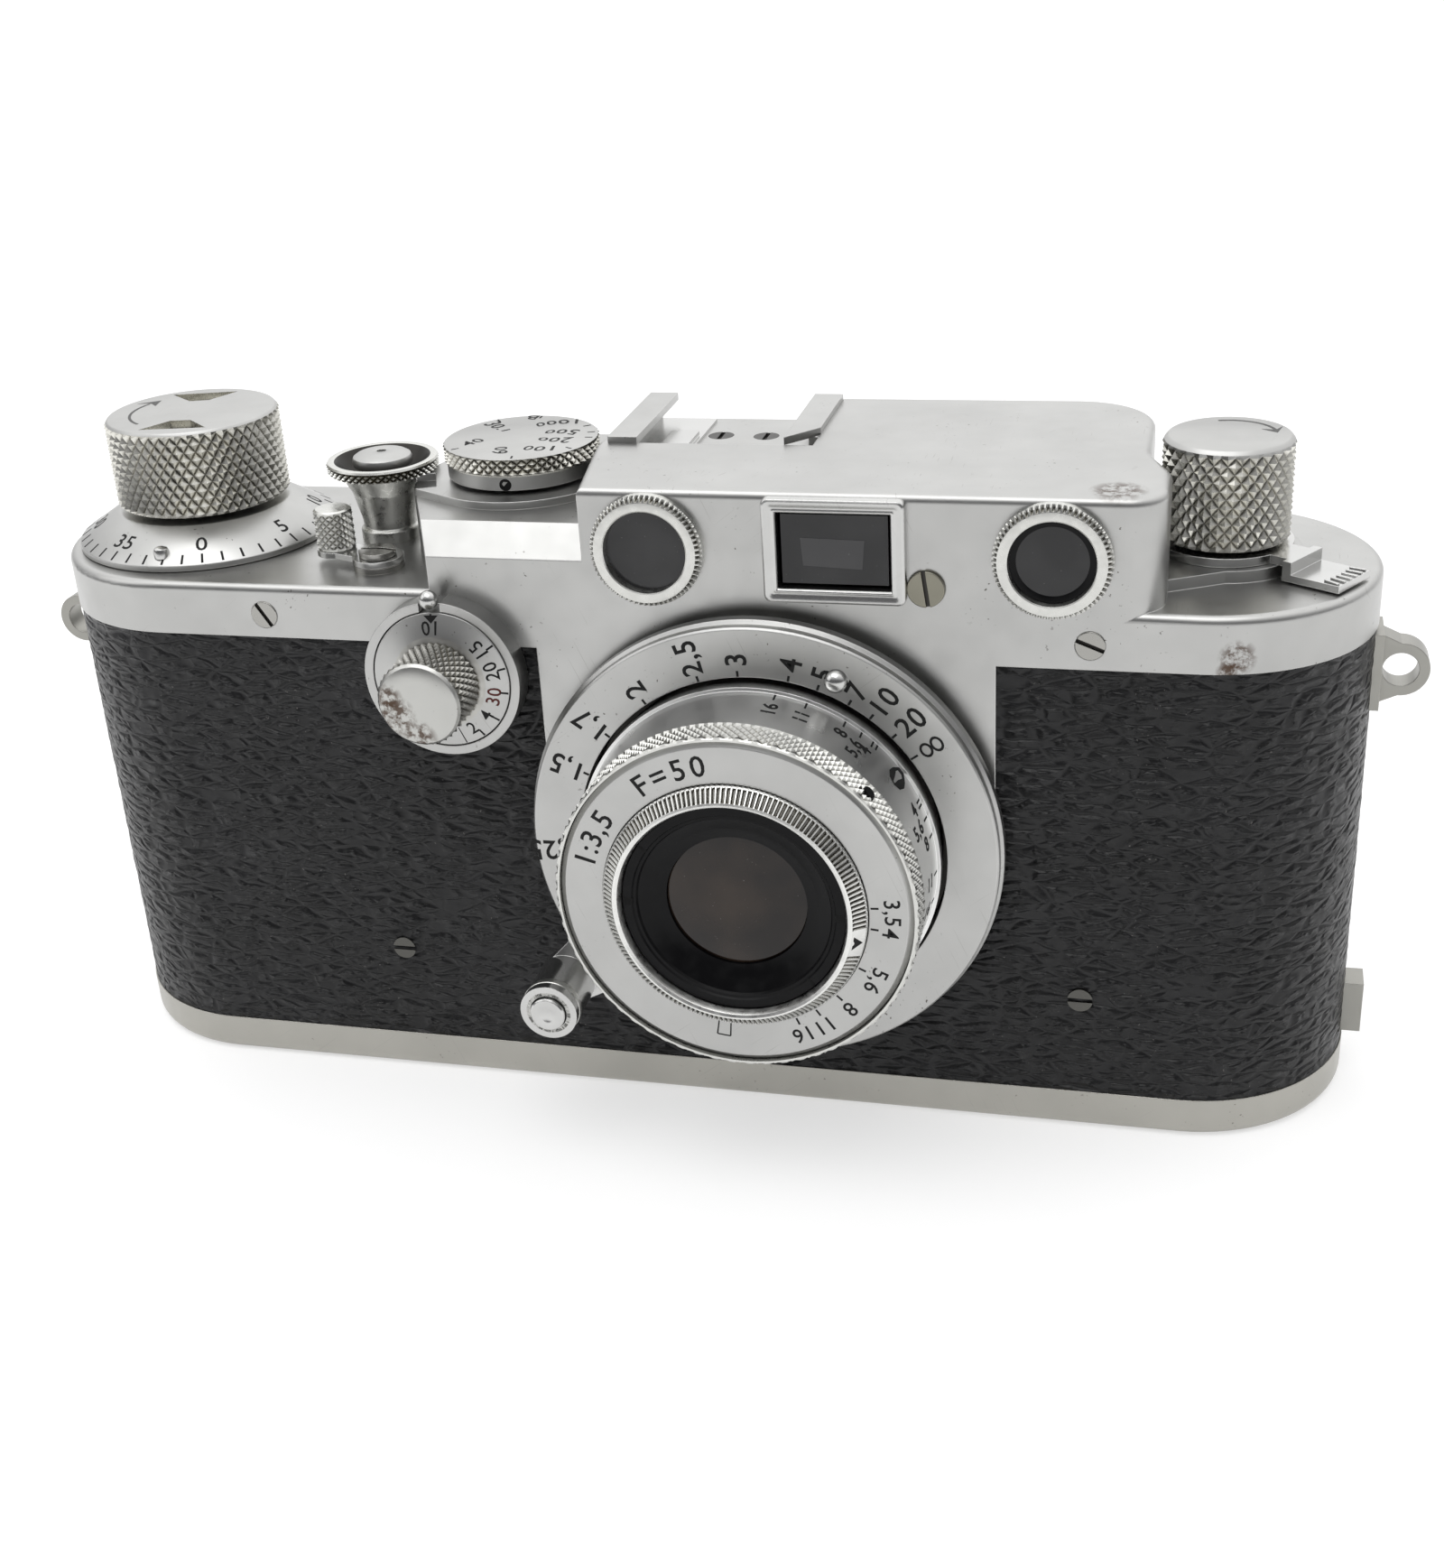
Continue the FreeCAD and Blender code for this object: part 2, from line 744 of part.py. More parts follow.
def make_leather_cover():
    bottom = "base_height + seam_gap"
    top = "leather_top - seam_gap"
    outer = stadium("%s - leather_inset" % HALF_DEPTH, bottom, top)
    bore = stadium(SHELL_RADIUS, "base_height - 1", "leather_top + 1")
    cut_out_radius = "apron_radius + seam_gap"
    round_cut_out = lens_throat(cut_out_radius, "10", "20")
    square_cut_out = box(
        ("2 * (%s)" % cut_out_radius, "10", "25"),
        ("lens_x - (%s)" % cut_out_radius, "-20", "lens_height"),
    )
    lug_low = "lug_height - lug_foot_half - seam_gap"
    lug_high = "lug_height + lug_foot_half + seam_gap"
    pockets = [
        end_pocket(-1, lug_low, lug_high, "lug_foot_width + 2 * seam_gap"),
        end_pocket(1, lug_low, lug_high, "lug_foot_width + 2 * seam_gap"),
        end_pocket(1, "base_height", "stud_bottom + stud_tall + seam_gap", "stud_width + 0.1"),
    ]
    openings = [bore, round_cut_out, square_cut_out] + pockets + wall_holes()
    subpart("leather_cover", cut(outer, *openings))


def housing_block(inset, bottom, top):
    """The rangefinder housing's outline, drawn in by a wall thickness."""
    depth = "%s - (%s)" % (HALF_DEPTH, inset)
    left_front = "-housing_left_front + (%s)" % inset
    left_rear = "-housing_left_rear + (%s)" % inset
    right_front = "housing_right_front - (%s)" % inset
    right_rear = "housing_right_rear - (%s)" % inset
    points = [
        (left_front, "-(%s)" % depth),
        (right_front, "-(%s)" % depth),
        (right_front, "-housing_waist_front"),
        (right_rear, "-housing_waist_rear"),
        (right_rear, depth),
        (left_rear, depth),
        (left_rear, "-housing_bend"),
    ]
    body = plate(points, "(%s) - (%s)" % (top, bottom), ("0", "0", bottom))
    doc.recompute()
    half = sheet.body_depth / 2
    wall = half - body.Shape.BoundBox.YMax
    front = corner(sheet.housing_right_front - wall, -half + wall)
    round_edges(body, "housing_front_corner - (%s)" % inset, front)
    rear = corner(sheet.housing_right_rear - wall, half - wall)
    round_edges(body, "housing_rear_corner - (%s)" % inset, rear)
    waist_front = corner(sheet.housing_right_front - wall, -sheet.housing_waist_front)
    waist_rear = corner(sheet.housing_right_rear - wall, -sheet.housing_waist_rear)
    round_edges(body, "housing_front_corner", lambda edge: waist_front(edge) or waist_rear(edge))
    return body


def make_step(inset, bottom, top):
    """The raised step under the speed dial: a drum joined to a bevelled block."""
    drum = cylinder("step_radius - (%s)" % inset, "(%s) - (%s)" % (top, bottom),
                    ("dial_x", "0", bottom))
    depth = "%s - (%s)" % (HALF_DEPTH, inset)
    left = "-step_left + (%s)" % inset
    points = [
        (left, "-(%s)" % depth),
        ("-housing_left_front + 1", "-(%s)" % depth),
        ("-housing_left_front + 1", depth),
        (left, depth),
        (left, "0"),
        ("step_flank_x + (%s)" % inset, "step_flank_y"),
    ]
    block = plate(points, "(%s) - (%s)" % (top, bottom), ("0", "0", bottom))
    doc.recompute()
    height = block.Shape.BoundBox.ZLength
    front_y = block.Shape.BoundBox.YMin
    wall = sheet.body_depth / 2 - block.Shape.BoundBox.YMax
    rear = corner(wall - sheet.step_left, block.Shape.BoundBox.YMax)
    round_edges(block, "step_rear_round - (%s)" % inset, rear)

    def front_top(edge):
        return at_height(height)(edge) and edge.YMax < front_y + 0.01 and edge.XLength > 3

    bevel_edges(block, "step_bevel", front_top)
    return fuse(drum, block)


def make_top_cover():
    shoulder = stadium(HALF_DEPTH, "leather_top", "shoulder_top")
    round_edges(shoulder, "cover_edge_round", at_height(sheet.shoulder_top - sheet.leather_top))
    housing = housing_block("0", "shoulder_top - 1", "housing_top")
    lift = sheet.housing_top - sheet.shoulder_top + 1
    round_edges(housing, "cover_edge_round", at_height(lift))
    step = make_step("0", "shoulder_top - 1", "step_top")
    plinth_low = "shoulder_top - 0.5"
    plinth_height = "rewind_plinth_top - shoulder_top + 0.5"
    plinth = cylinder("rewind_plinth_radius", plinth_height, ("rewind_x", "0", plinth_low))
    ridge = plate(
        [
            ("ridge_left", "-ridge_left_half"),
            ("ridge_right", "-ridge_right_half"),
            ("ridge_right", "ridge_right_half"),
            ("ridge_left", "ridge_left_half"),
        ],
        plinth_height,
        ("0", "0", plinth_low),
    )
    apron_round = lens_throat("apron_radius", SHELL_RADIUS, HALF_DEPTH)
    apron_block = box(
        ("2 * apron_radius", "%s - %s" % (HALF_DEPTH, SHELL_RADIUS),
         "leather_top - lens_height + 0.5"),
        ("lens_x - apron_radius", "-" + HALF_DEPTH, "lens_height"),
    )
    outside = fuse(shoulder, housing, step, plinth, ridge, apron_round, apron_block)

    inner_radius = "%s - cover_wall" % HALF_DEPTH
    shoulder_hollow = stadium(inner_radius, "leather_top - 1", "shoulder_top - cover_wall")
    housing_hollow = housing_block("cover_wall", "leather_top + 1", "housing_top - cover_wall")
    shoe_well = span_box(
        ("shoe_left - 2 * cover_wall", "shoe_front - cover_wall", "shoe_seat - cover_wall"),
        ("shoe_right + cover_wall", "20", "housing_top + 1"),
    )
    step_hollow = make_step("cover_wall", "leather_top + 1", "step_top - cover_wall")
    shoe_recess = span_box(
        ("shoe_left", "shoe_front", "shoe_seat"),
        ("shoe_right", "20", "housing_top + 1"),
    )
    openings = [
        shoulder_hollow,
        cut(housing_hollow, shoe_well),
        step_hollow,
        shoe_recess,
        lens_throat("mount_sleeve_radius + seam_gap", "10", "20"),
        cylinder("shaft_radius + shaft_clearance", "12", ("wind_x", "0", "50")),
        cylinder("release_stem_radius + shaft_clearance", "12", ("release_x", "0", "50")),
        cylinder("drum_shaft_radius + shaft_clearance", "15", ("dial_x", "0", "50")),
        cylinder("rewind_neck_radius + shaft_clearance", "12", ("rewind_x", "0", "50")),
        cylinder("lever_screw_radius", "5", ("lever_x", "-lever_ahead", "53")),
        cross_hole("window_left_x", "window_height", "window_mouth_radius"),
        cross_hole("window_right_x", "window_height", "window_mouth_radius"),
        cross_hole("adjuster_x", "adjuster_height", "adjuster_radius"),
        finder_box("finder_rim", "-%s - 1" % HALF_DEPTH, "4"),
    ]
    for name in ("finder_x", "finder_x + eyepiece_spacing"):
        openings.append(cross_hole(name, "window_height", "eyepiece_seat_radius", "back"))
    for name in ("cover_screw_left_x", "cover_screw_right_x"):
        for side in ("front", "back"):
            openings.append(cross_hole(name, "cover_screw_height", "cover_screw_radius", side))
    for x in shoe_screw_places():
        openings.append(cylinder("shoe_shank_radius", "5", (x, "shoe_screw_y", "60")))
    subpart("top_cover", cut(outside, *openings))
    return housing


# ------------------------------------------------------------------ windows and eyepieces
def finder_box(rim, y, depth):
    """A box on the viewfinder's centre, smaller all round by its rim."""
    return box(
        ("finder_width - 2 * (%s)" % rim, depth, "finder_tall - 2 * (%s)" % rim),
        ("finder_x - finder_width / 2 + (%s)" % rim, y,
         "finder_height - finder_tall / 2 + (%s)" % rim),
    )


def make_windows():
    depth = HALF_DEPTH
    ring_profile = [
        ("window_glass_radius", "%s - cover_wall" % depth),
        ("window_mouth_radius", "%s - cover_wall" % depth),
        ("window_mouth_radius", depth),
        ("window_ring_radius", depth),
        ("window_ring_radius", "%s + window_proud - edge_bevel" % depth),
        ("window_ring_radius - edge_bevel", "%s + window_proud" % depth),
        ("window_mouth_radius", "%s + window_proud" % depth),
        ("window_glass_radius", "%s + window_proud - window_mouth_slope" % depth),
    ]
    glasses = []
    for label, x in (("left", "window_left_x"), ("right", "window_right_x")):
        ring = turned(ring_profile, (x, "0", "window_height"), "front")
        subpart("window_ring_" + label, ring)
        pane = cylinder("window_glass_radius", "pane_thickness", (x, "-%s" % depth, "window_height"), "front")
        glasses.append(pane)
    subpart("window_glasses", group(*glasses))

    front_y = "-%s - finder_proud" % depth
    frame = fuse(
        finder_box("0", front_y, "finder_proud"),
        finder_box("finder_rim", "-%s" % depth, "cover_wall"),
    )
    opening = finder_box("finder_rim + finder_lip", "%s - 1" % front_y, "4")
    subpart("viewfinder_frame", cut(frame, opening))
    pane = finder_box("finder_rim + finder_lip", "-%s" % depth, "pane_thickness")
    subpart("viewfinder_glass", pane)

    eyepiece_profile = [
        ("eyepiece_bore", "%s - cover_wall" % depth),
        ("eyepiece_seat_radius", "%s - cover_wall" % depth),
        ("eyepiece_seat_radius", depth),
        ("eyepiece_radius", depth),
        ("eyepiece_radius", "%s + eyepiece_proud - edge_bevel" % depth),
        ("eyepiece_radius - edge_bevel", "%s + eyepiece_proud" % depth),
        ("eyepiece_bore", "%s + eyepiece_proud" % depth),
    ]
    panes = []
    for label, x in (
        ("viewfinder_eyepiece", "finder_x"),
        ("rangefinder_eyepiece", "finder_x + eyepiece_spacing"),
    ):
        subpart(label, turned(eyepiece_profile, (x, "0", "window_height"), "back"))
        panes.append(cylinder("eyepiece_bore", "pane_thickness", (x, depth, "window_height"), "back"))
    subpart("eyepiece_glasses", group(*panes))

    face = "%s + adjuster_proud" % depth
    screw = slotted_screw("adjuster_x", "adjuster_height", "adjuster_radius", face,
                          "adjuster_proud + cover_wall")
    subpart("adjuster_screw", screw)


# ------------------------------------------------------------------ accessory shoe
def shoe_screw_places():
    return ["shoe_screw_first_x", "shoe_screw_first_x + shoe_screw_spacing"]


def make_accessory_shoe():
    floor_top = "shoe_seat + shoe_plate"
    lip_bottom = "shoe_seat + shoe_plate + shoe_channel_height"
    lip_top = "shoe_seat + shoe_plate + shoe_channel_height + shoe_lip_thickness"
    floor = span_box(("shoe_left", "shoe_front", "shoe_seat"),
                     ("shoe_right", "shoe_rear", floor_top))
    left_wall = span_box(("shoe_left", "shoe_front", "shoe_seat"),
                         ("shoe_left + shoe_wall", "shoe_rear", lip_bottom))
    right_wall = span_box(("shoe_right - shoe_wall", "shoe_front + shoe_lip_slant", "shoe_seat"),
                          ("shoe_right", "shoe_rear", lip_bottom))
    left_lip = span_box(("shoe_left", "shoe_front", lip_bottom),
                        ("shoe_left + shoe_lip_width", "shoe_rear", lip_top))
    right_lip = plate(
        [
            ("shoe_right - shoe_lip_width", "shoe_front + 0.6"),
            ("shoe_right", "shoe_front + 0.6 + shoe_lip_slant"),
            ("shoe_right", "shoe_rear"),
            ("shoe_right - shoe_lip_width", "shoe_rear"),
        ],
        "shoe_lip_thickness",
        ("0", "0", lip_bottom),
    )
    holes = [
        cylinder("shoe_screw_radius", "3", (x, "shoe_screw_y", "shoe_seat - 1"))
        for x in shoe_screw_places()
    ]
    shoe = cut(fuse(floor, left_wall, right_wall, left_lip, right_lip), *holes)
    subpart("accessory_shoe", shoe)

    screws = []
    for x in shoe_screw_places():
        head = cylinder("shoe_screw_radius", "shoe_plate", (x, "shoe_screw_y", "shoe_seat"))
        shank = cylinder("shoe_shank_radius", "cover_wall",
                         (x, "shoe_screw_y", "shoe_seat - cover_wall"))
        slot = box(("screw_slot_width", "4", "1"),
                   ("%s - screw_slot_width / 2" % x, "shoe_screw_y - 2", floor_top + " - 0.35"))
        screws.append(cut(fuse(head, shank), slot))
    subpart("shoe_screws", group(*screws))

    leaf = span_box(("shoe_left + shoe_wall", "shoe_front + 0.6", floor_top),
                    ("shoe_left + spring_leaf_width", "shoe_rear - 1",
                     floor_top + " + spring_leaf_thickness"))
    raised = span_box(("shoe_left + 4.1", "shoe_front + 4.4", floor_top + " + spring_leaf_thickness"),
                      ("shoe_left + 7.0", "shoe_front + 9.4", floor_top + " + spring_crest_height"))
    subpart("shoe_spring", fuse(leaf, raised))


# ------------------------------------------------------------------ fixed fittings
def make_lug(label, sign):
    face = "%s + %s" % (END_X, SHELL_RADIUS)
    root = "%s + %s" % (END_X, HALF_DEPTH)
    centre = "(%s + lug_reach)" % root
    low = "lug_height - lug_foot_half"
    foot = box(
        ("%s - (%s) + 0.5" % (root, face), "lug_foot_width", "2 * lug_foot_half"),
        (face if sign > 0 else "-(%s) - 0.5" % root, "-lug_foot_width / 2", low),
    )
    signed_centre = centre if sign > 0 else "-" + centre
    signed_root = root if sign > 0 else "-(%s)" % root
    ring = cylinder("lug_ring_radius", "lug_thickness",
                    (signed_centre, "lug_thickness / 2", "lug_height"), "front")
    web_points = [
        (signed_root, "-lug_foot_half + 0.2"),
        (signed_centre, "-lug_ring_radius + 0.05"),
        (signed_centre, "lug_ring_radius - 0.05"),
        (signed_root, "lug_foot_half - 0.2"),
    ]
    web = plate(web_points, "lug_thickness", ("0", "lug_thickness / 2", "lug_height"), "front")
    eye = cylinder("lug_eye_radius", "lug_thickness + 2",
                   (signed_centre, "lug_thickness / 2 + 1", "lug_height"), "front")
    subpart(label, cut(fuse(foot, web, ring), eye))


def make_fixed_fittings(housing):
    make_lug("strap_lug_left", -1)
    make_lug("strap_lug_right", 1)

    face = "%s + %s" % (END_X, SHELL_RADIUS)
    stud = box(
        ("leather_thickness + leather_inset + stud_reach", "stud_width", "stud_tall"),
        (face, "-stud_width / 2", "stud_bottom"),
    )
    subpart("end_stud", stud)

    screws = []
    for x in ("cover_screw_left_x", "cover_screw_right_x"):
        for side in ("front", "back"):
            front = "%s + 0.1" % HALF_DEPTH
            screws.append(slotted_screw(x, "cover_screw_height", "cover_screw_radius",
                                        front, "1.0", side))
    subpart("cover_screws", group(*screws))

    screws = []
    for x in ("leather_screw_left_x", "leather_screw_right_x"):
        screws.append(slotted_screw(x, "leather_screw_height", "leather_screw_radius",
                                    HALF_DEPTH, "1.8"))
    subpart("leather_screws", group(*screws))

    # the plate round the speed dial, forked towards the release and closed by the housing
    thickness = "speed_plate_top - step_top"
    disc = cylinder("speed_plate_radius", thickness, ("dial_x", "0", "step_top"))
    fork = plate(
        [
            ("speed_plate_fork_root", "-speed_plate_fork_root_half"),
            ("speed_plate_fork_reach", "-speed_plate_notch_half"),
            ("speed_plate_fork_reach", "speed_plate_notch_half"),
            ("speed_plate_fork_root", "speed_plate_fork_root_half"),
        ],
        thickness,
        ("dial_x", "0", "step_top"),
    )
    notch = plate(
        [
            ("speed_plate_notch_start", "-speed_plate_notch_half"),
            ("speed_plate_fork_reach + 1", "-speed_plate_notch_half"),
            ("speed_plate_fork_reach + 1", "speed_plate_notch_half"),
            ("speed_plate_notch_start", "speed_plate_notch_half"),
        ],
        "3",
        ("dial_x", "0", "step_top - 1"),
    )
    for piece in (fork, notch):
        bind(piece, "Placement.Rotation.Angle", "speed_plate_fork_angle")
    bore = cylinder("drum_shaft_radius + shaft_clearance", "3", ("dial_x", "0", "step_top - 1"))
    subpart("speed_plate", cut(fuse(disc, fork), notch, bore, housing))

    collar_profile = [
        ("release_stem_radius + shaft_clearance", "shoulder_top"),
        ("release_foot_radius", "shoulder_top"),
        ("release_foot_radius", "release_waist_height - 0.2"),
        ("release_waist_radius", "release_waist_height"),
        ("release_neck_radius", "release_lip_bottom - 0.1"),
        ("release_lip_radius", "release_lip_bottom"),
        ("release_lip_radius", "release_lip_top - edge_bevel"),
        ("release_lip_radius - edge_bevel", "release_lip_top"),
        ("release_cup_radius", "release_lip_top"),
        ("release_floor_radius", "release_floor_height"),
        ("release_stem_radius + shaft_clearance", "release_floor_height"),
    ]
    subpart("release_collar", turned(collar_profile, ("release_x", "0", "0")))

    # slow speed escutcheon, slotted at the top for the lock button's stalk
    ring = washer("slow_ring_radius", "slow_ring_bore", HALF_DEPTH,
                  "%s + slow_ring_proud" % HALF_DEPTH, ("slow_x", "0", "slow_height"), "front")
    slot = box(
        ("slow_slot_width", "6", "4"),
        ("slow_x - slow_ball_left - slow_slot_width / 2", "-%s - 5" % HALF_DEPTH,
         "slow_height + slow_ring_bore - 1"),
    )
    back = washer("slow_ring_bore", "drum_shaft_radius + shaft_clearance", HALF_DEPTH,
                  "%s + 0.4" % HALF_DEPTH, ("slow_x", "0", "slow_height"), "front")
    subpart("slow_dial_ring", fuse(cut(ring, slot), back))


# ------------------------------------------------------------------ inner frame
def make_inner_frame():
    gate_front = "%s - gate_thickness" % FILM_Y
    deck = stadium(SHELL_BORE, "deck_bottom", "deck_top")
    floor = span_box(("floor_left", "-%s" % SHELL_BORE, "floor_bottom"),
                     ("floor_right", SHELL_BORE, "floor_top"))
    gate = span_box(("gate_left", gate_front, "floor_top"), ("floor_right", FILM_Y, "deck_bottom"))
    walls = []
    for right in ("roller_wall_x", "spring_wall_x", "floor_right"):
        walls.append(span_box(
            ("(%s) - wall_thickness" % right, "-%s" % SHELL_BORE, "floor_top"),
            (right, "%s - curtain_thickness" % gate_front, "deck_bottom"),
        ))
    frame_window = box(
        ("frame_width", "6", "frame_tall"),
        ("lens_x - frame_width / 2", "%s - 3" % gate_front, "lens_height - frame_tall / 2"),
    )
    curtain_well = span_box(
        ("curtain_left - 5", "%s - curtain_thickness" % gate_front,
         "lens_height - frame_tall / 2 - curtain_well_margin"),
        ("curtain_right + 0.5", gate_front, "lens_height + frame_tall / 2 + curtain_well_margin"),
    )
    bearings = [
        cylinder("%s + shaft_clearance" % radius, "bearing_length", (x, "0", "0"))
        for x, radius in (
            ("wind_x", "shaft_radius"),
            ("release_x", "sprocket_shaft_radius"),
            ("dial_x", "drum_shaft_radius"),
            ("rewind_x", "shaft_radius"),
        )
    ]
    throat = [
        lens_throat("mount_sleeve_radius + seam_gap", "mount_sleeve_rear_ahead - 0.1", "20"),
        lens_throat("cam_outer_radius + 0.3", "focus_sleeve_rear_ahead - 0.5", "20"),
        lens_throat("tube_radius + 0.3", "tube_rear_ahead - 0.5", "20"),
    ]
    frame = cut(fuse(deck, floor, gate, *walls), frame_window, curtain_well, *(bearings + throat))
    subpart("inner_frame", frame)

    curtain = span_box(
        ("curtain_left", "%s - curtain_thickness" % gate_front,
         "lens_height - frame_tall / 2 - curtain_margin"),
        ("curtain_right", gate_front, "lens_height + frame_tall / 2 + curtain_margin"),
    )
    subpart("shutter_curtain", curtain)

    pad = span_box(
        ("lens_x - frame_width / 2 - pad_margin", FILM_Y, "lens_height - frame_tall / 2 - pad_margin_tall"),
        ("lens_x + frame_width / 2 + pad_margin", "%s + plate_thickness" % FILM_Y,
         "lens_height + frame_tall / 2 + pad_margin_tall"),
    )
    springs = [
        span_box(
            ("lens_x + %s" % start, "%s + plate_thickness" % FILM_Y,
             "lens_height - pad_spring_half"),
            ("lens_x + %s + pad_spring_width" % start, SHELL_BORE,
             "lens_height + pad_spring_half"),
        )
        for start in ("pad_spring_first", "pad_spring_second")
    ]
    subpart("pressure_plate", fuse(pad, *springs))


# ------------------------------------------------------------------ winding and shutter
def make_winding():
    knob = [
        ("shaft_radius", "counter_edge_top - wind_hub_sink"),
        ("wind_hub_radius", "counter_edge_top - wind_hub_sink"),
        ("wind_hub_radius", "wind_knob_bottom"),
        ("wind_knob_radius", "wind_knob_bottom"),
        ("wind_knob_radius", "wind_knob_top - knob_bevel"),
        ("wind_knob_radius - knob_bevel", "wind_knob_top"),
        ("0", "wind_knob_top"),
        ("0", "wind_knob_top - wind_cap"),
        ("shaft_radius", "wind_knob_top - wind_cap"),
    ]
    subpart("wind_knob", turned(knob, ("wind_x", "0", "0")))

    counter = [
        ("wind_hub_radius + shaft_clearance", "shoulder_top + seam_gap"),
        ("counter_radius", "shoulder_top + seam_gap"),
        ("counter_radius", "counter_edge_top"),
        ("counter_crown_radius", "counter_crown_top"),
        ("wind_hub_radius + shaft_clearance", "counter_crown_top"),
    ]
    subpart("frame_counter", turned(counter, ("wind_x", "0", "0")))

    half_distance = "((release_x - wind_x) / 2)"
    shaft = cylinder("shaft_radius", "wind_knob_top - wind_cap - spool_bottom",
                     ("wind_x", "0", "spool_bottom"))
    wind_gear = gear(half_distance, "wind_gear_teeth", "lower_gear_bottom", "wind_x")
    subpart("wind_shaft", fuse(shaft, wind_gear))

    spool = [
        ("shaft_radius", "spool_bottom"),
        ("spool_flange_radius", "spool_bottom"),
        ("spool_flange_radius", "spool_bottom + spool_flange_thickness"),
        ("spool_core_radius", "spool_bottom + spool_flange_thickness"),
        ("spool_core_radius", "spool_top - spool_flange_thickness"),
        ("spool_flange_radius", "spool_top - spool_flange_thickness"),
        ("spool_flange_radius", "spool_top"),
        ("shaft_radius", "spool_top"),
    ]
    subpart("takeup_spool", turned(spool, ("wind_x", "0", "0")))


def make_sprocket():
    half_distance = "((release_x - wind_x) / 2)"
    upper_radius = "((dial_x - release_x) / 2)"
    shaft = cylinder("sprocket_shaft_radius", "upper_gear_bottom + gear_thickness + 0.4 - bearing_bottom",
                     ("release_x", "0", "bearing_bottom"))
    drum = cylinder("sprocket_drum_radius", "sprocket_drum_height",
                    ("release_x", "0", "sprocket_drum_bottom"))
    tooth = [
        ("sprocket_radius - 0.5", "-0.75"),
        ("sprocket_tooth_radius", "-0.4"),
        ("sprocket_tooth_radius", "0.4"),
        ("sprocket_radius - 0.5", "0.75"),
    ]
    rows = [
        toothed_disc("sprocket_radius", tooth, "sprocket_teeth", "sprocket_row_width",
                     ("release_x", "0", "lens_height %s sprocket_row_spacing / 2"
                      " - sprocket_row_width / 2" % sign))
        for sign in ("-", "+")
    ]
    lower = gear(half_distance, "wind_gear_teeth", "lower_gear_bottom", "release_x",
                 "180 / wind_gear_teeth")
    upper = gear(upper_radius, "drum_gear_teeth", "upper_gear_bottom", "release_x")
    bore = cylinder("sprocket_bore_radius", "20", ("release_x", "0", "44"))
    subpart("sprocket_shaft", cut(fuse(shaft, drum, lower, upper, *rows), bore))


def make_shutter_drum():
    upper_radius = "((dial_x - release_x) / 2)"
    shaft = cylinder("drum_shaft_radius", "drum_shaft_height", ("dial_x", "0", "bearing_bottom"))
    drum = cylinder("drum_radius", "drum_height", ("dial_x", "0", "drum_bottom"))
    wheel = gear(upper_radius, "drum_gear_teeth", "upper_gear_bottom", "dial_x")
    subpart("shutter_drum", fuse(shaft, drum, wheel))


def make_speed_dial():
    dial = [
        ("drum_shaft_radius + shaft_clearance", "dial_collar_bottom"),
        ("dial_collar_radius", "dial_collar_bottom"),
        ("dial_collar_radius", "dial_rim_bottom"),
        ("dial_rim_radius", "dial_rim_bottom + 0.1"),
        ("dial_rim_radius", "dial_top - dial_bevel"),
        ("dial_rim_radius - dial_bevel", "dial_top"),
        ("0", "dial_top"),
        ("0", "dial_top - dial_cap"),
        ("drum_shaft_radius + shaft_clearance", "dial_top - dial_cap"),
    ]
    subpart("speed_dial", turned(dial, ("dial_x", "0", "0")))


def make_release_button():
    button = [
        ("0", "release_stem_bottom"),
        ("release_stem_radius", "release_stem_bottom"),
        ("release_stem_radius", "release_button_bottom"),
        ("release_button_radius", "release_button_bottom"),
        ("release_button_radius", "release_button_top - 0.7"),
        ("release_button_radius - 0.5", "release_button_top - 0.2"),
        ("0", "release_button_top"),
    ]
    subpart("release_button", turned(button, ("release_x", "0", "0")))


def make_rewind_lever():
    at = ("lever_x", "-lever_ahead", "0")
    screw = [
        ("0", "shoulder_top - cover_wall"),
        ("lever_screw_radius", "shoulder_top - cover_wall"),
        ("lever_screw_radius", "shoulder_top"),
        ("lever_boss_radius", "shoulder_top"),
        ("lever_boss_radius", "lever_bottom - seam_gap"),
        ("lever_screw_radius", "lever_bottom - seam_gap"),
        ("lever_screw_radius", "lever_bottom + lever_thickness + seam_gap"),
        ("lever_head_radius", "lever_bottom + lever_thickness + seam_gap"),
        ("lever_head_radius", "lever_bottom + lever_thickness + 0.6"),
        ("0", "lever_bottom + lever_thickness + 0.75"),
    ]
    slot = box(
        ("6", "screw_slot_width", "1"),
        ("lever_x - 3", "-lever_ahead - screw_slot_width / 2",
         "lever_bottom + lever_thickness + 0.35"),
    )
    subpart("rewind_lever_screw", cut(turned(screw, at), slot))

    hub = cylinder("lever_boss_radius", "lever_thickness", ("lever_x", "-lever_ahead", "lever_bottom"))
    post_x = "lever_x - lever_post_left"
    post_y = "-lever_ahead + lever_post_back"
    foot = cylinder("lever_foot_radius", "lever_thickness", (post_x, post_y, "lever_bottom"))
    post = cylinder("lever_post_radius", "lever_post_top - lever_bottom",
                    (post_x, post_y, "lever_bottom"))
    arm = plate(
        [
            ("-lever_post_left - 0.5", "lever_post_back - 1.6"),
            ("0.5", "-lever_arm_half"),
            ("0.5", "lever_arm_half"),
            ("-lever_post_left + 0.3", "lever_post_back + 1.6"),
        ],
        "lever_thickness",
        ("lever_x", "-lever_ahead", "lever_bottom"),
    )
    bore = cylinder("lever_screw_radius + shaft_clearance", "3",
                    ("lever_x", "-lever_ahead", "lever_bottom - 1"))
    subpart("rewind_lever", cut(fuse(hub, arm, foot, post), bore))


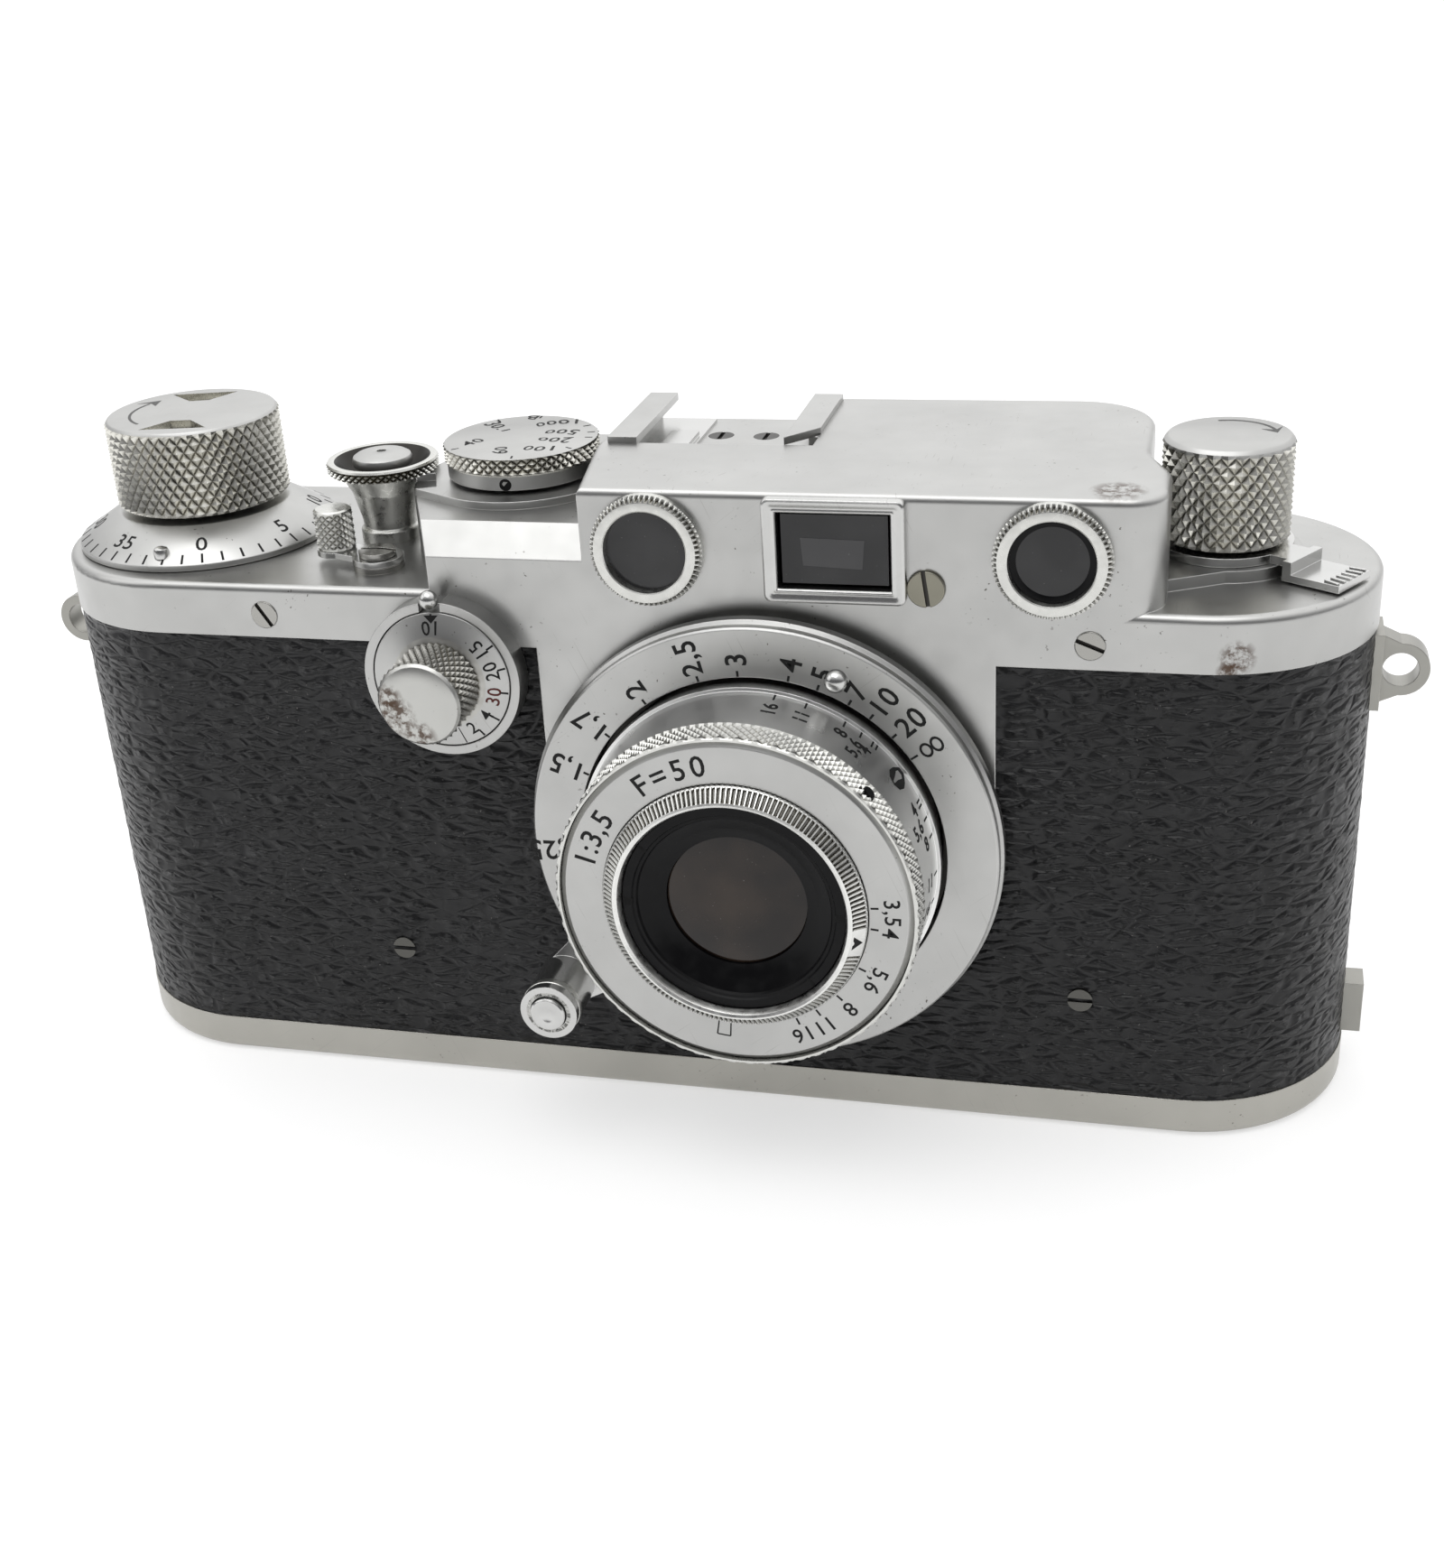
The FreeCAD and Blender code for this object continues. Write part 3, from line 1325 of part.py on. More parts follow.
def make_slow_speed_dial():
    depth = HALF_DEPTH
    dial = [
        ("0", "%s - slow_shaft_sink" % depth),
        ("drum_shaft_radius", "%s - slow_shaft_sink" % depth),
        ("drum_shaft_radius", "%s + slow_dial_seat" % depth),
        ("slow_dial_radius", "%s + slow_dial_seat" % depth),
        ("slow_dial_radius", "%s + slow_ring_proud" % depth),
        ("slow_knob_radius + 0.3", "%s + slow_dial_proud" % depth),
        ("slow_knob_radius", "%s + slow_dial_proud + 0.6" % depth),
        ("slow_knob_radius", "%s + slow_knob_proud - 0.7" % depth),
        ("slow_knob_radius - 0.7", "%s + slow_knob_proud" % depth),
        ("0", "%s + slow_knob_proud" % depth),
    ]
    subpart("slow_speed_dial", turned(dial, ("slow_x", "0", "slow_height"), "front"))

    ball_x = "slow_x - slow_ball_left"
    ball_z = "slow_height + slow_ball_above"
    ball = sphere("slow_ball_radius", (ball_x, "-slow_ball_ahead", ball_z))
    stalk = cylinder("slow_stalk_radius", "slow_ball_above - slow_ring_bore - 0.25",
                     (ball_x, "-slow_ball_ahead + 0.8", "slow_height + slow_ring_bore + 0.25"))
    subpart("slow_lock_button", fuse(ball, stalk))


# ------------------------------------------------------------------ rewind side
def make_rewind():
    shaft = cylinder("shaft_radius", "rewind_knob_top - rewind_cap - 0.5 - rewind_shaft_bottom",
                     ("rewind_x", "0", "rewind_shaft_bottom"))
    blade = box(("rewind_blade_thickness", "rewind_blade_width", "rewind_blade_height"),
                ("rewind_x - rewind_blade_thickness / 2", "-rewind_blade_width / 2",
                 "rewind_fork_bottom"))
    subpart("rewind_fork", fuse(shaft, blade))

    bore = "shaft_radius + shaft_clearance"
    knob = [
        (bore, "rewind_plinth_top - rewind_neck_sink"),
        ("rewind_neck_radius", "rewind_plinth_top - rewind_neck_sink"),
        ("rewind_neck_radius", "rewind_knob_bottom"),
        ("rewind_knob_radius", "rewind_knob_bottom"),
        ("rewind_knob_radius", "rewind_knob_top - knob_bevel"),
        ("rewind_knob_radius - knob_bevel", "rewind_knob_top"),
        ("0", "rewind_knob_top"),
        ("0", "rewind_knob_top - rewind_cap"),
        (bore, "rewind_knob_top - rewind_cap"),
    ]
    subpart("rewind_knob", turned(knob, ("rewind_x", "0", "0")))

    low = "rewind_plinth_top + seam_gap"
    ring = cylinder("diopter_ring_radius", "diopter_thickness", ("rewind_x", "0", low))
    half = "diopter_tab_width / 2"
    neck = plate(
        [("rewind_neck_radius", "-diopter_neck_half"),
         ("diopter_tab_start + 0.6", "-diopter_neck_half"),
         ("diopter_tab_start + 0.6", "diopter_neck_half"),
         ("rewind_neck_radius", "diopter_neck_half")],
        "diopter_thickness",
        ("rewind_x", "0", low),
    )
    riser = plate(
        [("diopter_tab_start", "-(%s)" % half), ("diopter_tab_start + diopter_riser_width", "-(%s)" % half),
         ("diopter_tab_start + diopter_riser_width", half), ("diopter_tab_start", half)],
        "%s + diopter_thickness - shoulder_top - diopter_tab_lift" % low,
        ("rewind_x", "0", "shoulder_top + diopter_tab_lift"),
    )
    tab = plate(
        [("diopter_tab_start", "-(%s)" % half), ("diopter_reach", "-(%s)" % half),
         ("diopter_reach", half), ("diopter_tab_start", half)],
        "diopter_tab_thickness",
        ("rewind_x", "0", "shoulder_top + diopter_tab_lift"),
    )
    for piece in (neck, riser, tab):
        bind(piece, "Placement.Rotation.Angle", "diopter_angle")
    bore = cylinder("rewind_neck_radius + shaft_clearance", "4", ("rewind_x", "0", "shoulder_top"))
    subpart("diopter_lever", cut(fuse(ring, neck, riser, tab), bore))


# ------------------------------------------------------------------ lens
def lens_turned(profile):
    return turned(profile, lens_place(), "front")


def polar_place(circle, angle, ahead):
    """A point round the lens axis, its angle counted anticlockwise from +X seen from ahead."""
    return (
        "lens_x + (%s) * cos(%s * 1 deg)" % (circle, angle),
        "-(%s)" % ahead,
        "lens_height + (%s) * sin(%s * 1 deg)" % (circle, angle),
    )


def make_lens_mount():
    ring = lens_turned([
        ("mount_thread_radius", "mount_sleeve_rear_ahead"),
        ("mount_sleeve_radius", "mount_sleeve_rear_ahead"),
        ("mount_sleeve_radius", HALF_DEPTH),
        ("mount_ring_radius", HALF_DEPTH),
        ("mount_ring_radius", "mount_face_ahead"),
        ("mount_thread_radius", "mount_face_ahead"),
    ])
    screws = []
    holes = []
    for angle in ("45", "135", "225", "315"):
        at = polar_place("mount_screw_circle", angle, "mount_face_ahead")
        holes.append(cylinder("mount_screw_radius", "1.2", at, "back"))
        screws.append(cylinder("mount_screw_radius", "1.2", at, "back"))
    subpart("lens_mount_ring", cut(ring, *holes))
    subpart("mount_ring_screws", group(*screws))


def make_lens():
    flange = lens_turned([
        ("flange_bore_radius", "flange_tail_ahead"),
        ("mount_thread_radius - seam_gap", "flange_tail_ahead"),
        ("mount_thread_radius - seam_gap", "mount_face_ahead"),
        ("scale_rim_radius", "mount_face_ahead"),
        ("scale_rim_radius", "scale_rim_ahead"),
        ("scale_radius", "scale_rim_ahead + 0.3"),
        ("scale_radius", "scale_face_ahead - 0.2"),
        ("scale_radius - 0.2", "scale_face_ahead"),
        ("flange_bore_radius", "scale_face_ahead"),
    ])
    subpart("lens_flange", flange)

    dome = sphere("flange_stud_radius",
                  polar_place("flange_stud_circle", "flange_stud_angle", "scale_face_ahead"))
    front_half = span_box(("-30", "-scale_face_ahead - 3", "0"), ("60", "-scale_face_ahead", "80"))
    subpart("flange_stud", common(dome, front_half))

    subpart("cam_sleeve", washer("cam_outer_radius", "cam_inner_radius", "cam_rear_ahead",
                                 "cam_front_ahead", lens_place(), "front"))

    focus = lens_turned([
        ("focus_bore_radius", "focus_sleeve_rear_ahead"),
        ("focus_sleeve_radius", "focus_sleeve_rear_ahead"),
        ("focus_sleeve_radius", "focus_rear_ahead"),
        ("focus_rim_radius", "focus_rear_ahead"),
        ("focus_rim_radius", "focus_edge_ahead"),
        ("focus_cone_radius", "focus_edge_ahead"),
        ("focus_front_radius", "focus_front_ahead"),
        ("focus_bore_radius", "focus_front_ahead"),
    ])
    subpart("focus_ring", focus)

    tube = lens_turned([
        ("tube_bore_radius", "tube_rear_ahead"),
        ("tube_radius", "tube_rear_ahead"),
        ("tube_radius", "grip_rear_ahead"),
        ("grip_radius", "grip_rear_ahead"),
        ("grip_radius", "grip_front_ahead - 0.25"),
        ("grip_radius - 0.25", "grip_front_ahead"),
        ("grip_recess_radius", "grip_front_ahead"),
        ("grip_recess_radius", "name_ring_rear_ahead"),
        ("tube_bore_radius", "name_ring_rear_ahead"),
    ])
    subpart("lens_tube", tube)

    name_ring = lens_turned([
        ("name_ring_bore", "name_ring_rear_ahead"),
        ("name_ring_radius", "name_ring_rear_ahead"),
        ("name_ring_radius", "name_ring_edge_ahead"),
        ("name_ring_face_radius", "name_ring_face_ahead"),
        ("name_ring_bore", "name_ring_face_ahead"),
    ])
    subpart("name_ring", name_ring)

    iris_ring = lens_turned([
        ("iris_ring_bore", "iris_ring_rear_ahead"),
        ("iris_ring_radius", "iris_ring_rear_ahead"),
        ("iris_ring_radius", "iris_ring_shoulder_ahead"),
        ("iris_ring_front_radius", "iris_ring_front_ahead"),
        ("iris_ring_bore", "iris_ring_inner_ahead"),
    ])
    subpart("aperture_ring", iris_ring)

    bezel = lens_turned([
        ("front_glass_radius", "bezel_flange_rear_ahead"),
        ("tube_bore_radius", "bezel_flange_rear_ahead"),
        ("tube_bore_radius", "bezel_flange_front_ahead"),
        ("bezel_radius", "bezel_flange_front_ahead"),
        ("bezel_radius", "bezel_front_ahead"),
        ("bezel_lip_radius", "bezel_front_ahead"),
        ("front_glass_radius + 1.2", "bezel_seat_ahead + 0.6"),
        ("front_glass_radius", "bezel_seat_ahead"),
    ])
    subpart("front_bezel", bezel)

    glass_rod = cylinder("front_glass_radius", "front_glass_front_ahead - bezel_flange_rear_ahead",
                         ("lens_x", "-bezel_flange_rear_ahead", "lens_height"), "front")
    ball = sphere("front_glass_ball", ("lens_x", "front_glass_ball - front_glass_front_ahead",
                                       "lens_height"))
    subpart("front_element", common(glass_rod, ball))

    disc = cylinder("tube_bore_radius", "iris_thickness",
                    ("lens_x", "-iris_ahead", "lens_height"), "front")
    prism = doc.addObject("Part::Prism", "opening")
    bind(prism, "Polygon", "iris_blades")
    bind(prism, "Circumradius", "iris_opening")
    bind(prism, "Height", "4")
    place(prism, ("lens_x", "-iris_ahead + 2", "lens_height"), "front")
    subpart("iris_diaphragm", cut(disc, prism))

    subpart("rear_cell", washer("tube_bore_radius", "rear_cell_bore", "rear_cell_rear_ahead",
                                "rear_cell_front_ahead", lens_place(), "front"))


def make_focus_lever():
    """An arm in front of the distance scale that ends in a knurled post."""
    arm = plate(
        [
            ("focus_rim_radius - 2", "-focus_lever_root_width / 2"),
            ("focus_lever_circle", "-focus_lever_width / 2"),
            ("focus_lever_circle", "focus_lever_width / 2"),
            ("focus_rim_radius - 2", "focus_lever_root_width / 2"),
        ],
        "focus_lever_thickness",
        ("lens_x", "-focus_rear_ahead", "lens_height"),
        "front",
    )
    turn = Rotation(Vector(0, -1, 0), sheet.focus_lever_angle)
    arm.Placement = FreeCAD.Placement(Vector(), turn.multiply(TURNS["front"]))
    rim_clear = lens_throat("focus_rim_radius", "10", "30")
    knob_at = polar_place("focus_lever_circle", "focus_lever_angle", "focus_rear_ahead")
    knob = cylinder("focus_knob_radius", "focus_knob_front_ahead - focus_rear_ahead",
                    knob_at, "front")
    clearance = "shaft_clearance"
    stem_hole = cylinder("lock_button_stem + " + clearance, "20", polar_place(
        "focus_lever_circle", "focus_lever_angle", "focus_rear_ahead - 1"), "front")
    button_hole = cylinder("lock_button_radius + " + clearance, "20", polar_place(
        "focus_lever_circle", "focus_lever_angle", "lock_button_seat_ahead - 1.1"), "front")
    subpart("focus_lever", cut(fuse(cut(arm, rim_clear), knob), stem_hole, button_hole))

    head = cylinder("lock_button_radius", "lock_button_front_ahead - lock_button_seat_ahead",
                    polar_place("focus_lever_circle", "focus_lever_angle",
                                "lock_button_seat_ahead"), "front")
    stem = cylinder("lock_button_stem", "lock_button_seat_ahead - focus_rear_ahead - 0.2",
                    polar_place("focus_lever_circle", "focus_lever_angle",
                                "focus_rear_ahead + 0.2"), "front")
    subpart("infinity_lock_button", fuse(head, stem))


# ------------------------------------------------------------------ base plate
def make_base():
    outer = stadium(HALF_DEPTH, "0", "base_height")
    round_edges(outer, "base_edge_round", at_height(0))
    hollow = stadium("%s - base_wall" % HALF_DEPTH, "base_wall", "base_height + 1")
    bush_hole = cylinder("bush_radius", "3", ("wind_x", "0", "-1"))
    key_hole = cylinder("key_radius + key_clearance", "3", ("rewind_x", "0", "-1"))
    subpart("base_plate", cut(outer, hollow, bush_hole, key_hole))

    bush = [
        ("bush_bore_radius", "0"),
        ("bush_radius", "0"),
        ("bush_radius", "base_wall"),
        ("bush_flange_radius", "base_wall"),
        ("bush_flange_radius", "base_wall + 1.0"),
        ("bush_radius", "base_wall + 1.0"),
        ("bush_radius", "bush_top"),
        ("0", "bush_top"),
        ("0", "bush_bore_depth"),
        ("bush_bore_radius", "bush_bore_depth"),
    ]
    subpart("tripod_bush", turned(bush, ("wind_x", "0", "0")))

    key = turned(
        [
            ("0", "key_bottom"),
            ("key_radius", "key_bottom"),
            ("key_radius", "base_wall + seam_gap"),
            ("key_flange_radius", "base_wall + seam_gap"),
            ("key_flange_radius", "key_top"),
            ("0", "key_top"),
        ],
        ("rewind_x", "0", "0"),
    )
    bar = box(
        ("key_bar_length", "key_bar_width", "key_bar_top - key_top + 0.5"),
        ("rewind_x - key_bar_length / 2", "-key_bar_width / 2", "key_top - 0.5"),
    )
    clearance = "key_clearance"
    groove_top = "handle_pivot_height + handle_thickness / 2 + 0.1"
    groove = washer("handle_outer_radius + %s + 0.2" % clearance,
                    "handle_inner_radius - %s - 0.2" % clearance,
                    "-1", groove_top, ("rewind_x", "0", "0"))
    rear_half = box(("20", "20", "4"), ("rewind_x - 10", "handle_thickness / 2 + 0.15", "-2"))
    subpart("lock_key", cut(fuse(key, bar), cut(groove, rear_half)))

    low = "handle_pivot_height - handle_thickness / 2"
    ring = washer("handle_outer_radius", "handle_inner_radius", low,
                  "handle_pivot_height + handle_thickness / 2", ("rewind_x", "0", "0"))
    behind = box(("20", "20", "4"), ("rewind_x - 10", "0", "-2"))
    pin = cylinder("handle_thickness / 2", "2 * handle_outer_radius - 0.3",
                   ("rewind_x", "0", "handle_pivot_height"))
    pin.Placement = FreeCAD.Placement(Vector(), Rotation(Vector(0, 1, 0), 90))
    bind(pin, "Placement.Base.x", "rewind_x - handle_outer_radius + 0.15")
    middle = cylinder("handle_inner_radius + 0.1", "4", ("rewind_x", "0", "-2"))
    subpart("lock_handle", fuse(cut(ring, behind), cut(pin, middle)))


# ------------------------------------------------------------------ build and export
def check_and_export():
    doc.recompute()
    for thing in doc.Objects:
        if "Invalid" in thing.State or "Error" in thing.State:
            raise RuntimeError("%s (%s) failed: %s" % (thing.Label, thing.Name, thing.State))
    os.makedirs("parts", exist_ok=True)
    for thing in SUBPARTS:
        shape = thing.Shape
        if shape.isNull() or not shape.isValid() or not shape.Solids:
            raise RuntimeError(thing.Label + " has no valid solid")
        shape.exportStep("parts/%s.step" % thing.Label)
        print("%-22s solids %2d  volume %10.2f mm3" % (thing.Label, len(shape.Solids), shape.Volume))
    print(len(SUBPARTS), "sub-parts")


make_body_shell()
make_leather_cover()
housing_solid = make_top_cover()
make_inner_frame()
make_windows()
make_accessory_shoe()
make_fixed_fittings(housing_solid)
make_winding()
make_sprocket()
make_shutter_drum()
make_speed_dial()
make_release_button()
make_rewind_lever()
make_slow_speed_dial()
make_rewind()
make_lens_mount()
make_lens()
make_focus_lever()
make_base()
check_and_export()
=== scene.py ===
import json
import math

import bmesh
import bpy
from mathutils import Matrix, Vector, noise


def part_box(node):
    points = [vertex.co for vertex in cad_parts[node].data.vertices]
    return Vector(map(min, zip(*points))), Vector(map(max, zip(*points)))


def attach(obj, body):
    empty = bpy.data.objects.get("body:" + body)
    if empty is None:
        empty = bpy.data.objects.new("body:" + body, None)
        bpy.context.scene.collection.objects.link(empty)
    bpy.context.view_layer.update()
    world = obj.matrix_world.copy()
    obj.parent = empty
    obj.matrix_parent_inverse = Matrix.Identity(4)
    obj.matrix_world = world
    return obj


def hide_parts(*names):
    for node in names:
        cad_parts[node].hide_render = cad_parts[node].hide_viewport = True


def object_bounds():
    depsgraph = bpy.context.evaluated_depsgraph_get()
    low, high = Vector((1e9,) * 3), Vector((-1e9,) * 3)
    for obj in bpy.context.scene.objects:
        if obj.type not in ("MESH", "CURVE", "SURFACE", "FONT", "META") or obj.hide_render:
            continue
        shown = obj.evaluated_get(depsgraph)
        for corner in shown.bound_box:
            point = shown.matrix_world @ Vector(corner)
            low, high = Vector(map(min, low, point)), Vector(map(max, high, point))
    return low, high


# The looks of a rangefinder camera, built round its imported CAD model.
# Sizes are millimetres until MM turns them into Blender's metres, and angles are degrees.
# A height on a turning axis is an absolute coordinate: z for what faces up, -y for what
# faces ahead, which is the lens side.
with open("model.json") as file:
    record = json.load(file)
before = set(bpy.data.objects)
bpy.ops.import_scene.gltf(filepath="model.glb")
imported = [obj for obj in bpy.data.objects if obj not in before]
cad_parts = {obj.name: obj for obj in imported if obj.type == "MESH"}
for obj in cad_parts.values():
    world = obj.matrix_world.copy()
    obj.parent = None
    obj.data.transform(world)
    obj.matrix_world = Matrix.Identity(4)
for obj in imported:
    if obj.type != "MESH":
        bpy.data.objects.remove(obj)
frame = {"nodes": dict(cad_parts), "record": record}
NODES = frame["nodes"]
MM = 0.001
cad_low, cad_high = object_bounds()

SHARP_EDGE = math.radians(30)

# ------------------------------------------------------------------ materials
def feed(tree, value, socket):
    """Links a socket to another, or gives it a plain value."""
    if isinstance(value, bpy.types.NodeSocket):
        tree.links.new(value, socket)
    elif socket.type == "RGBA":
        socket.default_value = (*value, 1)
    else:
        socket.default_value = value


def add_node(tree, kind, inputs, **settings):
    made = tree.nodes.new(kind)
    for name, value in settings.items():
        setattr(made, name, value)
    for name, value in inputs.items():
        feed(tree, value, made.inputs[name])
    return made


class Finish:
    """A material whose nodes are made by short calls. Sizes of its detail are in millimetres."""

    def __init__(self, name, colour, metallic, roughness):
        self.material = bpy.data.materials.new(name)
        self.material.use_nodes = True
        self.tree = self.material.node_tree
        self.shader = self.tree.nodes["Principled BSDF"]
        self.set({"Metallic": metallic, "Roughness": roughness, "Base Color": colour})
        self.place = self.node("ShaderNodeTexCoord", {}).outputs["Object"]

    def node(self, kind, inputs, **settings):
        return add_node(self.tree, kind, inputs, **settings)

    def set(self, inputs):
        for name, value in inputs.items():
            feed(self.tree, value, self.shader.inputs[name])

    def spread(self, size, turn=(0, 0, 0)):
        """The place on the object, scaled so that one unit is `size` mm along each axis."""
        angles = [math.radians(angle) for angle in turn]
        rotate = self.node("ShaderNodeVectorRotate", {"Rotation": angles, "Vector": self.place},
                           rotation_type="EULER_XYZ")
        scale = [1 / (side * MM) for side in size]
        return self.node("ShaderNodeMapping", {"Scale": scale, "Vector": rotate.outputs[0]}).outputs[0]

    def noise(self, size, detail=2.0, turn=(0, 0, 0), rough=0.5, output="Fac"):
        size = size if isinstance(size, tuple) else (size, size, size)
        return self.node("ShaderNodeTexNoise", {
            "Scale": 1.0, "Detail": detail, "Roughness": rough, "Vector": self.spread(size, turn),
        }).outputs[output]

    def creases(self, size, waver, sway):
        """Distance to the nearest crease of a cracked pattern, whose lines sway by `sway` cells."""
        drift = self.noise(waver, output="Color")
        moved = self.node("ShaderNodeVectorMath", {0: drift, 1: (sway, sway, sway), 2: self.spread(size)},
                          operation="MULTIPLY_ADD")
        return self.node("ShaderNodeTexVoronoi", {"Scale": 1.0, "Vector": moved.outputs[0]},
                         feature="DISTANCE_TO_EDGE").outputs["Distance"]

    def ramp(self, value, low, high, start=0.0, end=1.0, ease="LINEAR"):
        return self.node("ShaderNodeMapRange", {
            "Value": value, "From Min": low, "From Max": high, "To Min": start, "To Max": end,
        }, interpolation_type=ease).outputs[0]

    def times(self, first, second):
        return self.node("ShaderNodeMath", {0: first, 1: second}, operation="MULTIPLY",
                         use_clamp=True).outputs[0]

    def mix(self, share, first, second):
        return self.node("ShaderNodeMix", {0: share, 6: first, 7: second}, data_type="RGBA").outputs[2]

    def near(self, place, reach):
        """1 at a place on the object and 0 from `reach` mm away."""
        away = self.node("ShaderNodeVectorMath", {0: self.place, 1: [side * MM for side in place]},
                         operation="DISTANCE")
        return self.ramp(away.outputs["Value"], 0.0, reach * MM, 1.0, 0.0)

    def edges(self, radius, low=0.01, high=0.12):
        """1 along the outer and inner edges, and the normal that rounds them."""
        bevel = self.node("ShaderNodeBevel", {"Radius": radius * MM}, samples=6).outputs[0]
        flat = self.node("ShaderNodeNewGeometry", {}).outputs["Normal"]
        dot = self.node("ShaderNodeVectorMath", {0: bevel, 1: flat}, operation="DOT_PRODUCT")
        return self.ramp(dot.outputs["Value"], 1 - low, 1 - high), bevel

    def bump(self, height, strength, distance, under=None):
        inputs = {"Strength": strength, "Distance": distance * MM, "Height": height}
        if under is not None:
            inputs["Normal"] = under
        return self.node("ShaderNodeBump", inputs).outputs[0]

    def done(self, colour, roughness=None, normal=None):
        given = {"Base Color": colour, "Roughness": roughness, "Normal": normal}
        self.set({name: value for name, value in given.items() if value is not None})
        return self.material


# colours of the soiling and painted shade in knurl valleys
GRIME_AND_SHADE = (0.055, 0.05, 0.04)
DRY_GRIME_AND_SHADE = (0.14, 0.125, 0.09)
STAIN_BROWN = (0.075, 0.048, 0.034)
SCRATCH_GREY = (0.3, 0.29, 0.28)
PIT_BLACK = (0.09, 0.08, 0.07)
DUST_GREY = (0.2, 0.19, 0.18)
GLASS_DUST = (0.3, 0.3, 0.29)


def metal(name, colour, roughness, wear=0.0, pits=0.0, patches=(), rounding=0.16):
    """Plated metal: a fine grain, cloudy tarnish, pits, hair scratches and rubbed edges.

    `wear` and `pits` run from 0 to 1, `rounding` is the edges' radius in mm, and `patches` are
    brown stains, each with its place and its reach in mm.
    """
    finish = Finish(name, colour, 1.0, roughness)
    cloud = finish.noise(9.0, 3.0)
    shade = finish.mix(finish.ramp(cloud, 0.3, 0.7), tuple(c * 0.9 for c in colour), colour)
    edge, rounded = finish.edges(rounding)
    shade = finish.mix(edge, shade, tuple(min(1.0, c * 1.25) for c in colour))
    rough = finish.ramp(finish.noise(2.6, 4.0), 0.25, 0.75, roughness * 0.88, roughness * 1.12)
    if wear:
        for turn in ((0, 24, 0), (0, -52, 18)):
            streak = finish.noise((0.1, 3.0, 9.0), 1.0, turn)
            here = finish.ramp(finish.noise(14.0, 1.0, turn), 0.52, 0.62, 0.0, wear)
            scratch = finish.times(finish.ramp(streak, 0.735, 0.76), here)
            shade = finish.mix(scratch, shade, SCRATCH_GREY)
    if pits:
        dots = finish.ramp(finish.noise(0.42, 2.0), 0.70, 0.74)
        group = finish.ramp(finish.noise(7.0, 2.0), 0.50, 0.62, 0.0, pits)
        pit = finish.times(dots, group)
        shade = finish.mix(pit, shade, PIT_BLACK)
    for place, reach in patches:
        rag = finish.ramp(finish.noise(1.1, 4.0, rough=0.7), 0.42, 0.56, 0.0, 0.9)
        patch = finish.times(finish.ramp(finish.near(place, reach), 0.0, 0.5), rag)
        shade = finish.mix(patch, shade, STAIN_BROWN)
    grain = finish.bump(finish.noise(0.16, 2.0), 0.12, 0.01, rounded)
    return finish.done(shade, rough, grain)


def knurled_metal(name, colour, roughness, shade_and_grime, reach=0.35):
    """Metal darkened in its knurl's valleys, where metal within `reach` mm shuts out the light: partly
    soiling, partly painted shade.
    """
    finish = Finish(name, colour, 1.0, roughness)
    # the valleys are darkened by how much light nearby metal shuts out: painted shade as well as soiling
    shelter = finish.node("ShaderNodeAmbientOcclusion", {"Distance": reach * MM}, samples=8,
                          only_local=True)
    painted_shade_and_dirt = finish.ramp(shelter.outputs["AO"], 0.94, 0.5, 0.0, shade_and_grime)
    grime_and_shade_colour = finish.mix(finish.ramp(finish.noise(3.0, 2.0), 0.4, 0.65), GRIME_AND_SHADE, DRY_GRIME_AND_SHADE)
    shade = finish.mix(painted_shade_and_dirt, colour, grime_and_shade_colour)
    rough = finish.ramp(finish.noise(0.7, 3.0), 0.3, 0.7, roughness * 0.75, roughness * 1.3)
    grain = finish.bump(finish.noise(0.2, 2.0), 0.25, 0.02)
    return finish.done(shade, rough, grain)


def vulcanite():
    """Black hard rubber moulded as leather: creased cells that run along the body."""
    finish = Finish("vulcanite", (0.006, 0.006, 0.0065), 0.0, 0.4)
    finish.set({"Specular IOR Level": 0.34})
    wide = finish.ramp(finish.creases((3.2, 3.2, 1.15), 5.0, 1.2), 0.0, 0.36, ease="SMOOTHSTEP")
    small = finish.ramp(finish.creases((1.5, 1.5, 0.8), 2.4, 0.8), 0.0, 0.3, 0.7, 1.0, "SMOOTHSTEP")
    fibre = finish.noise((1.2, 1.2, 0.5), 2.0)
    lumps = finish.times(wide, small)
    height = finish.times(lumps, finish.ramp(fibre, 0.25, 0.75, 0.75, 1.0))
    worn = finish.ramp(finish.noise(11.0, 3.0), 0.35, 0.7)
    shade = finish.mix(worn, (0.004, 0.004, 0.0045), (0.009, 0.009, 0.010))
    dots = finish.ramp(finish.noise(0.3, 1.0), 0.74, 0.78)
    dust = finish.times(dots, finish.ramp(finish.noise(5.0, 1.0), 0.5, 0.6, 0.0, 0.5))
    shade = finish.mix(dust, shade, DUST_GREY)
    rough = finish.ramp(fibre, 0.3, 0.7, 0.3, 0.48)
    return finish.done(shade, rough, finish.bump(height, 1.0, 0.5))


def painted(name, colour, roughness, gloss=0.25):
    """Paint and lacquer: a soft orange peel and thin worn places."""
    finish = Finish(name, colour, 0.0, roughness)
    finish.set({"Specular IOR Level": gloss})
    worn = finish.ramp(finish.noise(1.4, 4.0), 0.45, 0.75, 0.0, 0.35)
    shade = finish.mix(worn, colour, tuple(c + 0.008 for c in colour))
    peel = finish.bump(finish.noise(0.3, 2.0), 0.15, 0.01)
    return finish.done(shade, finish.ramp(worn, 0.0, 0.35, roughness, roughness + 0.12), peel)


